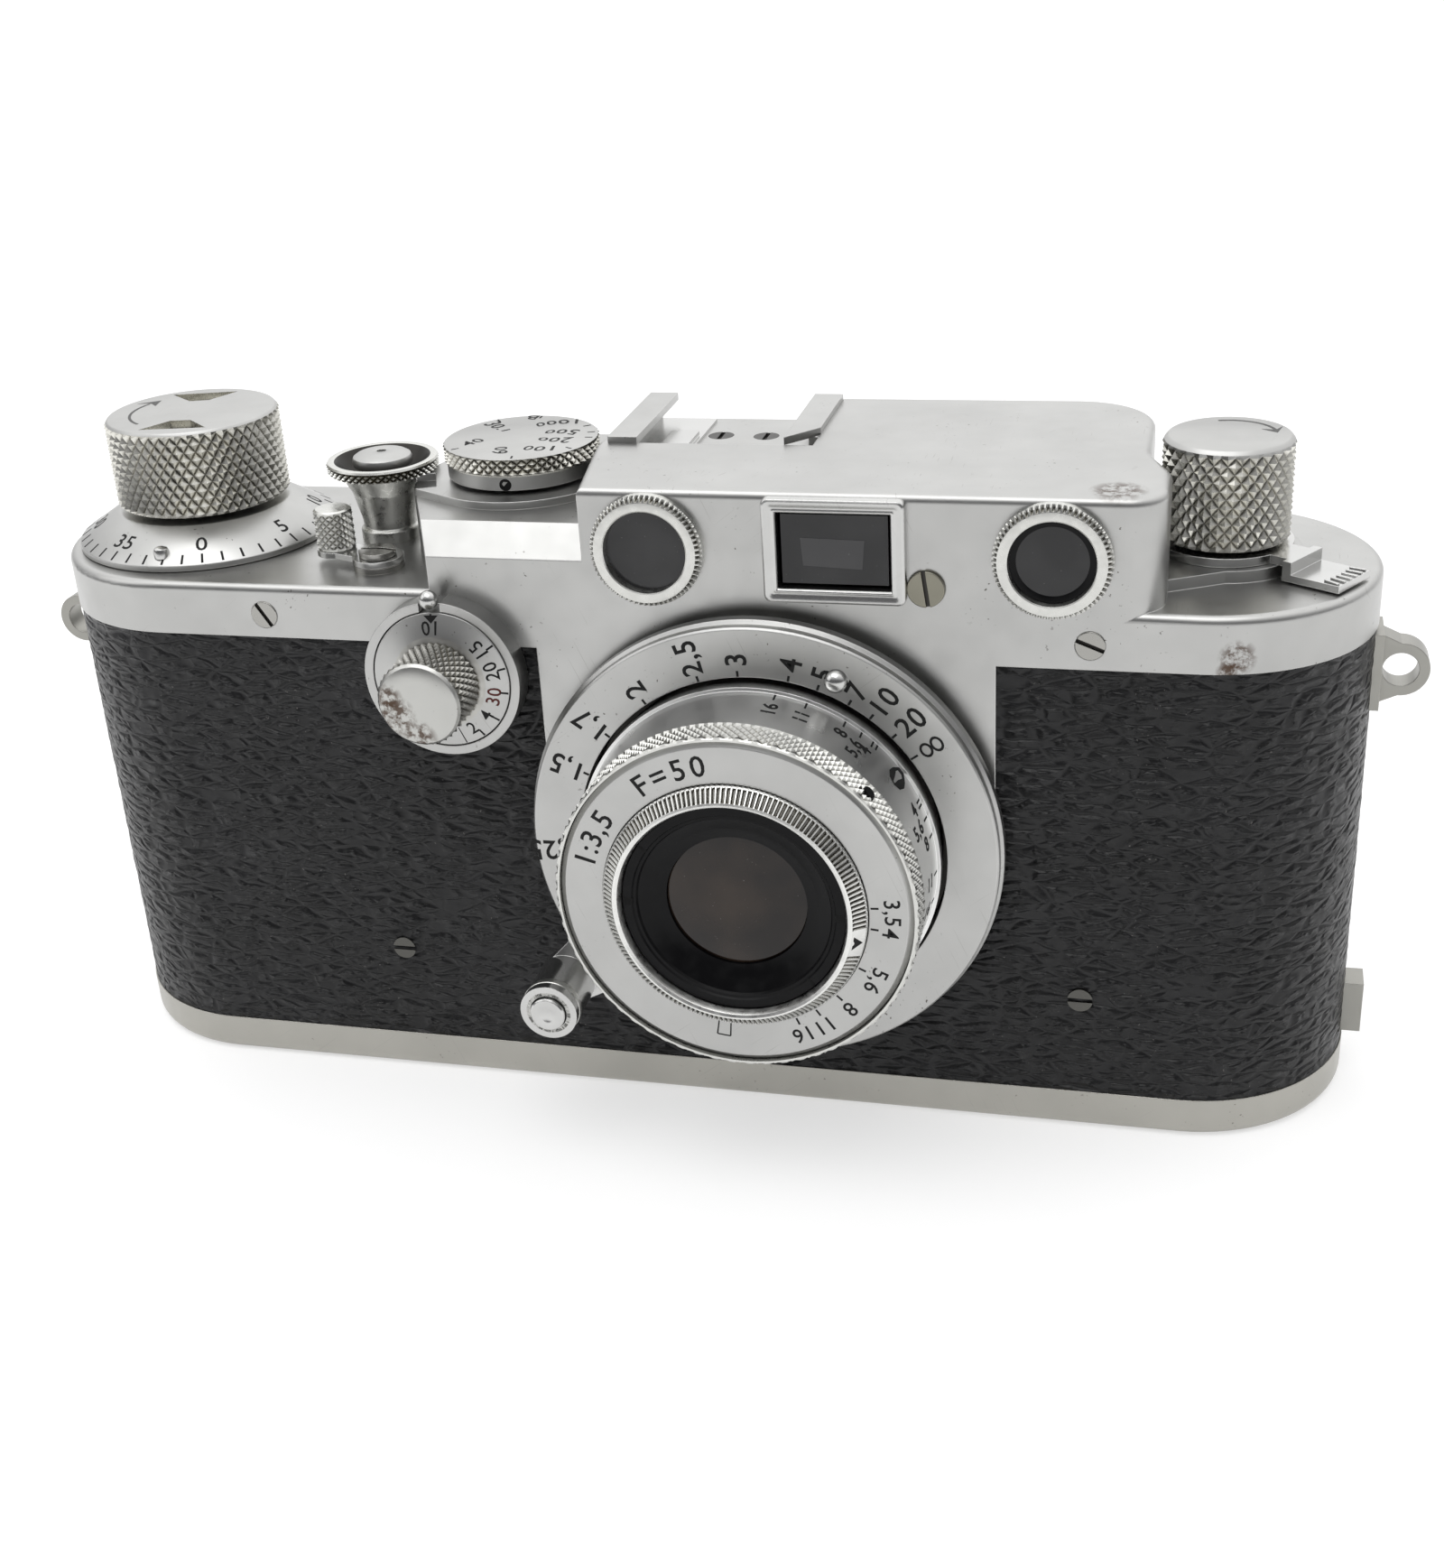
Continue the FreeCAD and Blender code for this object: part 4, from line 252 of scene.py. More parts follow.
def glass(name, colour, tint, roughness):
    """Coated glass over a dark chamber: deep colour, a coating tint and a little dust."""
    finish = Finish(name, colour, 0.0, roughness)
    veil = finish.ramp(finish.noise(6.0, 2.0), 0.35, 0.7)
    dust = finish.ramp(finish.noise(0.25, 1.0), 0.76, 0.79, 0.0, 0.3)
    shade = finish.mix(dust, finish.mix(veil, colour, tint), GLASS_DUST)
    smear = finish.ramp(finish.noise(3.0, 3.0), 0.3, 0.8, roughness, roughness + 0.06)
    finish.set({"Specular IOR Level": 0.3, "Coat Weight": 0.15, "Coat Roughness": 0.03})
    return finish.done(shade, smear)


# each stain's place and its reach
COVER_STAINS = [((55.0, -15.9, 52.2), 1.9), ((54.2, -15.9, 50.9), 1.2), ((43.9, -13.6, 66.9), 2.8)]
satin = metal("satin_chrome", (0.47, 0.47, 0.46), 0.34, wear=0.7, pits=0.9, patches=COVER_STAINS)
bright = metal("bright_chrome", (0.58, 0.58, 0.57), 0.2, wear=0.3, rounding=0.1)
focus_chrome = metal("focus_chrome", (0.80, 0.80, 0.79), 0.3, wear=0.4, rounding=0.1)
nickel = metal("base_nickel", (0.44, 0.43, 0.395), 0.34, wear=0.5, pits=0.6)
lug_metal = metal("worn_nickel", (0.34, 0.335, 0.31), 0.36, wear=0.5, pits=0.8)
white_metal = metal("white_chrome", (0.47, 0.47, 0.46), 0.4, wear=0.4, rounding=0.06)
screw_metal = metal("screw_steel", (0.36, 0.355, 0.335), 0.26, wear=0.5, rounding=0.08)
dull_screw = metal("dull_screw", (0.26, 0.25, 0.205), 0.4, pits=1.0, rounding=0.08)
blackened = metal("blackened_screw", (0.11, 0.108, 0.10), 0.34, rounding=0.08)
# dark steel for dark parts, also used as painted shade inside the release cup and in screw slots
dark_steel_and_shade = metal("dark_steel_and_shade", (0.05, 0.048, 0.045), 0.36)
brass = metal("gear_brass", (0.66, 0.47, 0.19), 0.32)
steel = metal("shaft_steel", (0.5, 0.5, 0.5), 0.28)
alloy = metal("body_alloy", (0.42, 0.42, 0.42), 0.5)
knurl = knurled_metal("knurled_chrome", (0.72, 0.71, 0.66), 0.26, 0.9)
fine_knurl = knurled_metal("fine_knurled_chrome", (0.60, 0.60, 0.575), 0.3, 0.95, 0.25)
ribbed = knurled_metal("ribbed_chrome", (0.74, 0.74, 0.72), 0.32, 0.9, 0.25)
worn_knurl = knurled_metal("worn_knurled_chrome", (0.45, 0.445, 0.42), 0.38, 1.0)
lacquer = painted("black_lacquer", (0.003, 0.003, 0.0035), 0.3, 0.14)
cloth = painted("shutter_cloth", (0.008, 0.008, 0.008), 0.9)
ink = painted("engraving_paint", (0.008, 0.008, 0.008), 0.6)
cut_line = painted("engraved_line", (0.07, 0.07, 0.068), 0.5)
red_ink = painted("red_engraving_paint", (0.11, 0.028, 0.024), 0.6)
window_glass = glass("window_glass", (0.018, 0.018, 0.019), (0.034, 0.034, 0.035), 0.12)
grey_glass = glass("seen_eyepiece", (0.05, 0.05, 0.052), (0.065, 0.065, 0.066), 0.12)
lens_glass = glass("coated_lens_glass", (0.007, 0.004, 0.003), (0.030, 0.020, 0.014), 0.06)
frame_metal = metal("frame_chrome", (0.54, 0.54, 0.53), 0.24, wear=0.4, rounding=0.14)
rubber = vulcanite()

SLOT_LOOKS = {
    "satin_chrome": satin,
    "bright_chrome": bright,
    "base_nickel": nickel,
    "vulcanite": rubber,
    "body_alloy": alloy,
    "black_lacquer": lacquer,
    "optical_glass": window_glass,
    "gear_brass": brass,
    "shaft_steel": steel,
    "screw_steel": screw_metal,
    "shutter_cloth": cloth,
}
NODE_LOOKS = {
    "front_element": lens_glass,
    "flange_stud": bright,
    "shoe_spring": bright,
    "cam_sleeve": dark_steel_and_shade,
    "leather_screws": blackened,
    "shoe_screws": dark_steel_and_shade,
    "adjuster_screw": dull_screw,
    "strap_lug_left": lug_metal,
    "strap_lug_right": lug_metal,
    "end_stud": lug_metal,
    "focus_ring": focus_chrome,
}

for part in frame["record"]["subparts"]:
    mesh = NODES[part["node"]].data
    mesh.materials.clear()
    mesh.materials.append(NODE_LOOKS.get(part["node"], SLOT_LOOKS[part["material_slot"]]))


# ------------------------------------------------------------------ turned work
FACINGS = {
    "up": ((1, 0, 0), (0, 1, 0), (0, 0, 1)),
    "ahead": ((1, 0, 0), (0, 0, 1), (0, -1, 0)),
    "back": ((-1, 0, 0), (0, 0, 1), (0, 1, 0)),
}
PLAIN, EVEN, ODD, RIBS = range(4)
RIB_COLUMNS = 4  # from one rib to the next


class Axis:
    """A turning axis through a point, with heights measured along the way it faces."""

    def __init__(self, middle, facing):
        self.right, self.over, self.out = (Vector(v) for v in FACINGS[facing])
        self.middle = middle - self.out * middle.dot(self.out)

    def point(self, radius, angle, height):
        turn = math.radians(angle)
        spoke = self.right * math.cos(turn) + self.over * math.sin(turn)
        return (self.middle + spoke * radius + self.out * height) * MM


def axis_of(node, facing):
    low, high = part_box(node)
    return Axis((low + high) / 2 / MM, facing)


def heights(node, facing):
    """A node's lowest and highest coordinate along the way that an axis faces."""
    low, high = (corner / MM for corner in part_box(node))
    return (low.z, high.z) if facing == "up" else (-high.y, -low.y)


def is_valley(pattern, column):
    if pattern == EVEN:
        return column % 2 == 0
    if pattern == ODD:
        return column % 2 == 1
    return pattern == RIBS and column % RIB_COLUMNS in (1, 2)


def knurl_rows(radius, low, high, count, depth):
    """Rows of pyramids between two heights. Each row's points stand over the next row's valleys."""
    step = (high - low) / (count - 1)
    return [(radius, low + step * i, (EVEN, ODD)[i % 2], depth, 0.0) for i in range(count)]


def turned(axis, rows, columns, ring=False, smooth=None):
    """A mesh turned from rows of (radius, height), or (radius, height, pattern, cut in, cut down).

    A patterned row is cut back at its valleys. `smooth` is (angle, half width) left uncut.
    """
    made = bmesh.new()
    loops = []
    for row in rows:
        radius, height, pattern, inward, down = (*row, PLAIN, 0.0, 0.0)[:5]
        if radius == 0:
            loops.append([(made.verts.new(axis.point(0, 0, height)), False)])
            continue
        loop = []
        for column in range(columns):
            angle = 360 * column / columns
            deep = is_valley(pattern, column)
            if smooth and abs((angle - smooth[0] + 180) % 360 - 180) < smooth[1]:
                deep = False
            here = axis.point(radius - inward * deep, angle, height - down * deep)
            loop.append((made.verts.new(here), deep))
        loops.append(loop)
    pairs = list(zip(loops, loops[1:]))
    if ring:
        pairs.append((loops[-1], loops[0]))
    for first, second in pairs:
        for column in range(columns):
            after = (column + 1) % columns
            a, b = first[column % len(first)], first[after % len(first)]
            c, d = second[after % len(second)], second[column % len(second)]
            corners = [corner[0] for corner in (a, b, c, d)]
            if len(first) == 1:
                faces = [(0, 2, 3)]
            elif len(second) == 1:
                faces = [(0, 1, 2)]
            elif a[1] and c[1] and not b[1] and not d[1]:
                faces = [(0, 1, 2), (0, 2, 3)]
            elif b[1] and d[1] and not a[1] and not c[1]:
                faces = [(0, 1, 3), (1, 2, 3)]
            else:
                faces = [(0, 1, 2, 3)]
            for face in faces:
                made.faces.new([corners[k] for k in face])
    return made


def prism(mesh, low, high):
    """A closed solid between two outlines of the same number of points."""
    rings = [[mesh.verts.new(point * MM) for point in ring] for ring in (low, high)]
    mesh.faces.new(rings[1])
    mesh.faces.new(rings[0][::-1])
    for i in range(len(low)):
        j = (i + 1) % len(low)
        mesh.faces.new([rings[0][i], rings[0][j], rings[1][j], rings[1][i]])


NEARLY_STRAIGHT = math.radians(12)
MOST_CUT = 0.45  # the largest share of a side that a rounded corner takes


def eased(profile, size):
    """A plain profile whose corners are rounded off by about `size` mm."""
    points = [Vector(row) for row in profile]
    result = [tuple(points[0])]
    for before, here, after in zip(points, points[1:], points[2:]):
        inward, outward = here - before, after - here
        if inward.angle(outward, 0.0) < NEARLY_STRAIGHT:
            result.append(tuple(here))
            continue
        cut = min(size, inward.length * MOST_CUT, outward.length * MOST_CUT)
        start = here - inward.normalized() * cut
        end = here + outward.normalized() * cut
        for share in (0.0, 0.33, 0.67, 1.0):
            bend = start * (1 - share) ** 2 + here * 2 * share * (1 - share) + end * share**2
            result.append(tuple(bend))
    result.append(tuple(points[-1]))
    return result


def add_object(name, data):
    made = bpy.data.objects.new(name, data)
    bpy.context.scene.collection.objects.link(made)
    return made


def show(name, mesh, look, body, slot, *nodes):
    """Makes a piece of a mesh, and hides the CAD nodes that it stands for."""
    bmesh.ops.recalc_face_normals(mesh, faces=mesh.faces)
    data = bpy.data.meshes.new(name)
    mesh.to_mesh(data)
    mesh.free()
    data.shade_smooth()
    data.set_sharp_from_angle(angle=SHARP_EDGE)
    data.materials.append(look)
    made = add_object(name, data)
    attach(made, body)
    if nodes:
        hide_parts(*nodes)
    return made


def coat(made, look, wanted):
    """Gives another look to the faces whose middle, in mm, is wanted."""
    made.data.materials.append(look)
    index = len(made.data.materials) - 1
    for face in made.data.polygons:
        if wanted(face.center / MM):
            face.material_index = index


def carve(target, cutter_mesh):
    """Cuts a closed mesh out of a piece."""
    bmesh.ops.recalc_face_normals(cutter_mesh, faces=cutter_mesh.faces)
    data = bpy.data.meshes.new("cutter")
    cutter_mesh.to_mesh(data)
    cutter_mesh.free()
    cutter = add_object("cutter", data)
    change = target.modifiers.new("cut", "BOOLEAN")
    change.operation = "DIFFERENCE"
    change.solver = "EXACT"
    change.object = cutter
    bpy.context.view_layer.update()
    shape = bpy.data.meshes.new_from_object(
        target.evaluated_get(bpy.context.evaluated_depsgraph_get()))
    target.modifiers.remove(change)
    target.data = shape
    target.data.set_sharp_from_angle(angle=SHARP_EDGE)
    bpy.data.objects.remove(cutter)


# ------------------------------------------------------------------ marks and figures
class Face:
    """A turned face that marks lie on: flat at slope 0, a cone between, a cylinder at slope 90."""

    def __init__(self, axis, radius, height, slope=0.0):
        self.axis, self.radius, self.height = axis, radius, height
        self.cos = math.cos(math.radians(slope))
        self.sin = math.sin(math.radians(slope))

    def point(self, out, angle, proud):
        """`out` is the way down the slope from the face's start, and `proud` the way off it."""
        radius = self.radius + out * self.cos + proud * self.sin
        return self.axis.point(radius, angle, self.height - out * self.sin + proud * self.cos)

    def place(self, out, angle, turn, across, up, proud):
        """A mark's own point (across, up), turned from the outward direction by `turn`."""
        cos, sin = math.cos(math.radians(turn)), math.sin(math.radians(turn))
        sideways = across * sin + up * cos
        swing = math.degrees(sideways / (self.radius + out * self.cos))
        return self.point(out + across * cos - up * sin, angle + swing, proud)


MARK_DEPTH = 0.05
MARK_PROUD = 0.012
CAPITAL_HEIGHT = 0.71  # a capital's height, as a share of the font's size
ONE_POINT = 0.0005  # points nearer than this are merged


class Marks:
    """Engraved and painted figures of one dial, gathered in one mesh of thin closed solids."""

    def __init__(self, face):
        self.face = face
        self.mesh = bmesh.new()

    def shape(self, outline, out, angle, turn=0.0, depth=MARK_DEPTH, proud=MARK_PROUD):
        """A closed outline of (across, up) points."""
        rings = [[self.face.place(out, angle, turn, a, u, height) / MM for a, u in outline]
                 for height in (-depth, proud)]
        prism(self.mesh, *rings)

    def tick(self, start, end, angle, width):
        """A line across the face from one distance out to another."""
        middle, length = (start + end) / 2, (end - start) / 2
        self.shape(box_outline(-length, length, width / 2), middle, angle)

    def bow(self, out, start, end, width, steps=14):
        """A line round the face, from one angle to another."""
        rings = []
        for i in range(steps + 1):
            angle = start + (end - start) * i / steps
            rings.append([self.mesh.verts.new(self.face.point(out + side * width / 2, angle, top))
                          for side, top in ((-1, -MARK_DEPTH), (1, -MARK_DEPTH),
                                            (1, MARK_PROUD), (-1, MARK_PROUD))])
        for here, after in zip(rings, rings[1:]):
            for i in range(4):
                j = (i + 1) % 4
                self.mesh.faces.new([here[i], here[j], after[j], after[i]])
        self.mesh.faces.new(rings[0])
        self.mesh.faces.new(rings[-1][::-1])

    def text(self, words, height, out, angle, turn, wide=1.0, bold=0.012, spacing=1.08):
        """Figures whose middle is at (out, angle), reading along `turn` from the outward way.

        `bold` is a share of their height, and `wide` and `spacing` are factors.
        """
        curve = bpy.data.curves.new("figures", "FONT")
        curve.body = words
        curve.size = height / CAPITAL_HEIGHT
        curve.offset = bold * height
        curve.extrude = 1.0
        curve.resolution_u = 3
        curve.space_character = spacing
        shown = add_object("figures", curve)
        bpy.context.view_layer.update()
        solid = bpy.data.meshes.new_from_object(shown)
        across = [v.co.x for v in solid.vertices]
        upward = [v.co.y for v in solid.vertices]
        middle = ((min(across) + max(across)) / 2, (min(upward) + max(upward)) / 2)
        for vertex in solid.vertices:
            proud = MARK_PROUD if vertex.co.z > 0 else -MARK_DEPTH
            vertex.co = self.face.place(out, angle, turn, (vertex.co.x - middle[0]) * wide,
                                        vertex.co.y - middle[1], proud)
        self.mesh.from_mesh(solid)
        bpy.data.objects.remove(shown)
        bpy.data.curves.remove(curve)
        bpy.data.meshes.remove(solid)

    def done(self, name, body, look=ink):
        bmesh.ops.remove_doubles(self.mesh, verts=self.mesh.verts, dist=ONE_POINT * MM)
        return show(name, self.mesh, look, body, "black_lacquer")


def box_outline(start, end, half):
    """A rectangle from `start` to `end` along the first axis, and `half` to each side of it."""
    return [(start, -half), (end, -half), (end, half), (start, half)]


def disc_outline(radius, count=20):
    turns = [math.tau * i / count for i in range(count)]
    return [(radius * math.cos(t), radius * math.sin(t)) for t in turns]


# ------------------------------------------------------------------ winding side
wind = axis_of("wind_knob", "up")
counter = axis_of("frame_counter", "up")
WIND_TOP = heights("wind_knob", "up")[1] - MARK_PROUD


def wind_knob():
    """The knurled winding knob, with two flat sinks in its top."""
    low, high = heights("wind_knob", "up")[0], WIND_TOP
    radius, under, neck = 9.1, 60.1, 3.0
    rows = [(0, low), (neck, low), (neck, under), (radius - 0.75, under), (radius - 0.3, under + 0.2)]
    rows += knurl_rows(radius, under + 0.45, high - 0.55, 11, 0.5)
    rows += eased([(radius - 0.2, high - 0.3), (radius - 0.42, high), (0, high)], 0.15)
    made = show("wind_knob_knurled", turned(wind, rows, 92), knurl, "winding", "satin_chrome",
                "wind_knob")
    coat(made, white_metal, lambda middle: middle.z > high - 0.32)
    sunk_outer, sunk_inner, centre = 8.25, 4.3, 6.0
    corners = [(sunk_outer, 20), (sunk_inner, 22), (sunk_inner, -22), (sunk_outer, -20)]
    outline = [(away * math.cos(math.radians(angle)) - centre, away * math.sin(math.radians(angle)))
               for away, angle in corners]
    for angle in (-79.5, 104.0):
        cutter = Marks(Face(wind, 0.0, high))
        cutter.shape(outline, centre, angle, depth=0.9, proud=0.5)
        carve(made, cutter.mesh)


def wind_marks():
    """The turning arrow on the winding knob."""
    marks = Marks(Face(wind, 0.0, WIND_TOP))
    marks.bow(6.35, 238, 160, 0.3)
    marks.shape([(-1.3, 0.9), (0, -1.1), (1.3, 0.9), (0.25, 0.3), (-0.25, 0.3)], 6.4, 156)
    marks.done("wind_arrow", "winding", cut_line)


def frame_counter():
    """The counter's conical disc, with a tick for every frame, and the pin that sets it."""
    bore, edge, crown, rim, top = 3.1, 13.65, 9.2, 56.85, 59.6
    low = heights("frame_counter", "up")[0]
    rows = [(bore, low), (edge - 0.1, low), (edge, low + 0.08), (edge, rim - 0.1),
            (edge - 0.1, rim + 0.03), (crown, top - 0.04), (crown - 0.25, top), (bore, top)]
    show("counter_disc", turned(counter, rows, 160, ring=True), satin, "counter", "satin_chrome",
         "frame_counter")
    fall, run = top - rim - 0.07, edge - 0.1 - crown
    marks = Marks(Face(counter, crown, top - 0.04, math.degrees(math.atan2(fall, run))))
    reach = math.hypot(run, fall)
    zero_angle, frames, frames_per_figure = -67.0, 40, 5
    for count in range(frames):
        angle = zero_angle + 360 / frames * count
        marks.tick(reach - 1.3, reach - 0.08, angle, 0.24)
        if count % frames_per_figure == 0:
            marks.text(str(count), 1.75, reach - 2.6, angle, 90, wide=1.05)
    marks.done("counter_figures", "counter")
    pin = Axis(counter.point(12.3, -86.5, 0) / MM, "up")
    foot, thick = 57.3, 0.78
    rows = [(0, foot), (thick, foot), (thick, foot + 0.75), (0.66, foot + 1.0), (0.4, foot + 1.14),
            (0, foot + 1.2)]
    show("counter_pin", turned(pin, rows, 28), bright, "counter", "bright_chrome")


# ------------------------------------------------------------------ release and speed dial
def release_collar():
    """The flared cup round the release button, knurled on its rim, with painted shade inside."""
    axis = axis_of("release_collar", "up")
    low = heights("release_collar", "up")[0]
    bore, inside, floor, rim = 1.1, 4.3, 62.6, 63.4
    outside = [(3.1, low), (3.1, 57.2), (2.75, 57.5), (2.85, 58.4), (3.5, 61.2), (4.5, 63.2)]
    rows = eased(outside, 0.15) + [(5.4, 63.3)]
    rows += knurl_rows(5.85, rim, 64.3, 4, 0.42)
    rows += [(5.8, 64.36), (5.68, 64.56), (5.4, 64.62), (5.0, 64.55), (4.7, 64.2), (inside, rim),
             (3.4, floor), (bore, floor), (bore, 61.9), (bore, low)]
    made = show("release_cup", turned(axis, rows, 88, ring=True), fine_knurl, "chassis",
                "satin_chrome", "release_collar")

    def is_inside(middle):
        away = (middle - axis.middle).to_2d().length
        return (away < inside and middle.z > floor - 0.1) or (away < inside + 0.6 and middle.z > rim)

    # the cup's inside is painted dark as shade
    coat(made, dark_steel_and_shade, is_inside)


def release_button():
    """The domed release button, with the hole for a cable release."""
    axis = axis_of("release_button", "up")
    low, high = heights("release_button", "up")
    stem, head, under = 1.0, 3.1, 63.9
    rows = [(0, low), (stem, low), (stem, under), (head - 0.05, under), (head, under + 0.1),
            (head, high - 0.75), (2.98, high - 0.5), (2.6, high - 0.26), (1.8, high - 0.08), (0.62, high),
            (0.5, high - 0.05), (0.45, high - 0.6), (0, high - 0.6)]
    show("release_plunger", turned(axis, rows, 64), white_metal, "release", "bright_chrome",
         "release_button")


def speed_dial():
    """The dial of the fast speeds, with a knurled rim, its figures and a set screw."""
    axis = axis_of("speed_dial", "up")
    low, high = heights("speed_dial", "up")
    radius, skirt, skirt_top = 8.0, 7.7, 65.05
    rows = [(0, low), (skirt - 0.15, low), (skirt, low + 0.12), (skirt, skirt_top),
            (skirt + 0.05, skirt_top + 0.15)]
    rows += knurl_rows(radius, skirt_top + 0.3, high - 0.22, 4, 0.4)
    rows += [(radius - 0.14, high - 0.08), (radius - 0.3, high), (0, high)]
    made = show("speed_dial_knurled", turned(axis, rows, 96), knurl, "speed_selector",
                "satin_chrome", "speed_dial")
    coat(made, white_metal, lambda middle: middle.z > high - 0.12)
    coat(made, satin, lambda middle: middle.z < skirt_top + 0.05)
    marks = Marks(Face(axis, 0.0, high))
    # each figure's words, its place across the dial and the way that it reads
    figures = [("B", -1.1, 7.0, 180), ("1000", 2.0, 5.3, 202), ("500", 3.7, 2.05, 180),
               ("200", 3.85, -0.85, 175), ("100", 3.1, -3.95, 179), ("60", -0.6, -4.75, 103),
               ("40", -4.5, -2.1, 56), ("30.1", -3.65, 3.5, 314)]
    for words, x, y, reading in figures:
        angle = math.degrees(math.atan2(y, x))
        marks.text(words, 1.45, math.hypot(x, y), angle, reading - angle, wide=1.15)
    for angle in (91.8, 127.6, -140.1, -78.9, -30.0, 1.4, 16.5, 36.7):
        marks.tick(6.75, 7.55, angle, 0.2)
    marks.done("speed_figures", "speed_selector")
    set_screw = Marks(Face(axis, skirt, 64.3, 90))
    set_screw.shape(disc_outline(0.62), 0.0, -85, depth=0.4)
    set_screw.done("speed_set_screw", "speed_selector", lacquer)


def lever_post():
    """Rows of beads round the lever's post, and its domed end."""
    post_x, post_y, foot = -35.1, -7.7, 57.36
    axis = Axis(Vector((post_x, post_y, 0)), "up")
    top = heights("rewind_lever", "up")[1]
    rows = [(0, foot), (1.8, foot)] + knurl_rows(2.02, foot + 0.24, top - 0.3, 11, 0.24)
    rows += [(1.9, top - 0.1), (1.7, top + 0.04), (1.0, top + 0.09), (0, top + 0.1)]
    show("lever_post_beads", turned(axis, rows, 28), fine_knurl, "reversing_lever", "satin_chrome")


# ------------------------------------------------------------------ slow speeds on the front
def slow_dial():
    """The dial of the slow speeds: a conical scale round a knurled knob."""
    axis = axis_of("slow_speed_dial", "ahead")
    rear, front = heights("slow_speed_dial", "ahead")
    stem, edge, rim, crown, crown_radius = 1.5, 7.05, 18.8, 19.4, 4.75
    scale_edge, scale_rim = edge - 0.07, rim + 0.03
    rows = [(0, rear), (stem, rear), (stem, rim - 2.1), (edge, rim - 2.1), (edge, rim - 0.05),
            (scale_edge, scale_rim), (crown_radius, crown), (4.45, crown + 0.1), (4.1, crown + 0.25)]
    rows += knurl_rows(4.4, crown + 0.6, front - 0.9, 8, 0.34)
    rows += [(4.2, front - 0.55), (3.95, front - 0.25), (3.4, front - 0.06), (2.4, front), (0, front)]
    made = show("slow_dial_knurled", turned(axis, rows, 72), worn_knurl, "slow_selector",
                "satin_chrome", "slow_speed_dial")
    stains = [(tuple(axis.point(out, angle, front) / MM), reach)
              for out, angle, reach in ((2.7, 205, 2.4), (3.2, 268, 1.9), (3.0, 165, 1.6))]
    blotched = metal("blotched_chrome", (0.50, 0.50, 0.48), 0.34, wear=0.4, pits=1.0, patches=stains)
    coat(made, blotched, lambda middle: -middle.y > front - 0.7)
    coat(made, satin, lambda middle: -middle.y < crown + 0.05)
    slope = math.degrees(math.atan2(crown - scale_rim, scale_edge - crown_radius))
    face = Face(axis, crown_radius, crown, slope)
    marks = Marks(face)
    reach, tall, figures_out = 2.25, 1.4, 0.86
    for words, angle in (("10", 95), ("15", 39), ("20", 13), ("4", -38), ("2", -60)):
        marks.text(words, tall, figures_out, angle, 90, wide=0.95)
    for angle in (92.5, 34, 12.5, -9.5, -36, -56):
        marks.tick(reach - 0.8, reach, angle, 0.2)
    marks.tick(0.3, reach, -74, 0.1)
    marks.shape([(0.75, 0.0), (-0.1, 0.75), (-0.1, -0.75)], reach - 0.2, 92.5, 180)
    marks.done("slow_figures", "slow_selector")
    red = Marks(face)
    red.text("30", tall, figures_out, -14, 90, wide=0.95)
    red.done("slow_flash_figure", "slow_selector", red_ink)


# ------------------------------------------------------------------ windows and rewind side
WINDOW_SEAT = 16.2
WINDOW_BORE = 3.9
WINDOW_RIBS = 66
DIOPTER_ANGLE = -32.0


def window_ring(node):
    """A window's ring with a milled edge."""
    axis = axis_of(node, "ahead")
    rear, front = heights(node, "ahead")
    edge = 5.45
    rows = [(4.4, rear), (4.5, WINDOW_SEAT), (edge, WINDOW_SEAT), (edge, front - 0.75),
            (edge - 0.03, front - 0.65, RIBS, 0.34, 0.0), (edge - 0.15, front - 0.22, RIBS, 0.3, 0.08),
            (4.95, front - 0.02), (4.88, front), (4.12, front), (4.0, front - 0.08),
            (3.95, front - 0.4), (WINDOW_BORE, front - 0.6), (WINDOW_BORE, rear)]
    show(node + "_milled", turned(axis, rows, RIB_COLUMNS * WINDOW_RIBS, ring=True), fine_knurl,
         "chassis", "satin_chrome", node)


def window_mask():
    """The black ring that narrows the right window's pane."""
    axis = axis_of("window_ring_right", "ahead")
    inner, outer = 3.3, WINDOW_BORE - 0.02
    rear, front = WINDOW_SEAT + 0.05, 17.0
    rows = [(inner, rear), (outer, rear), (outer, front), (outer - 0.13, front), (inner, front - 0.15)]
    show("window_mask_right", turned(axis, rows, 96, ring=True), lacquer, "chassis", "black_lacquer")


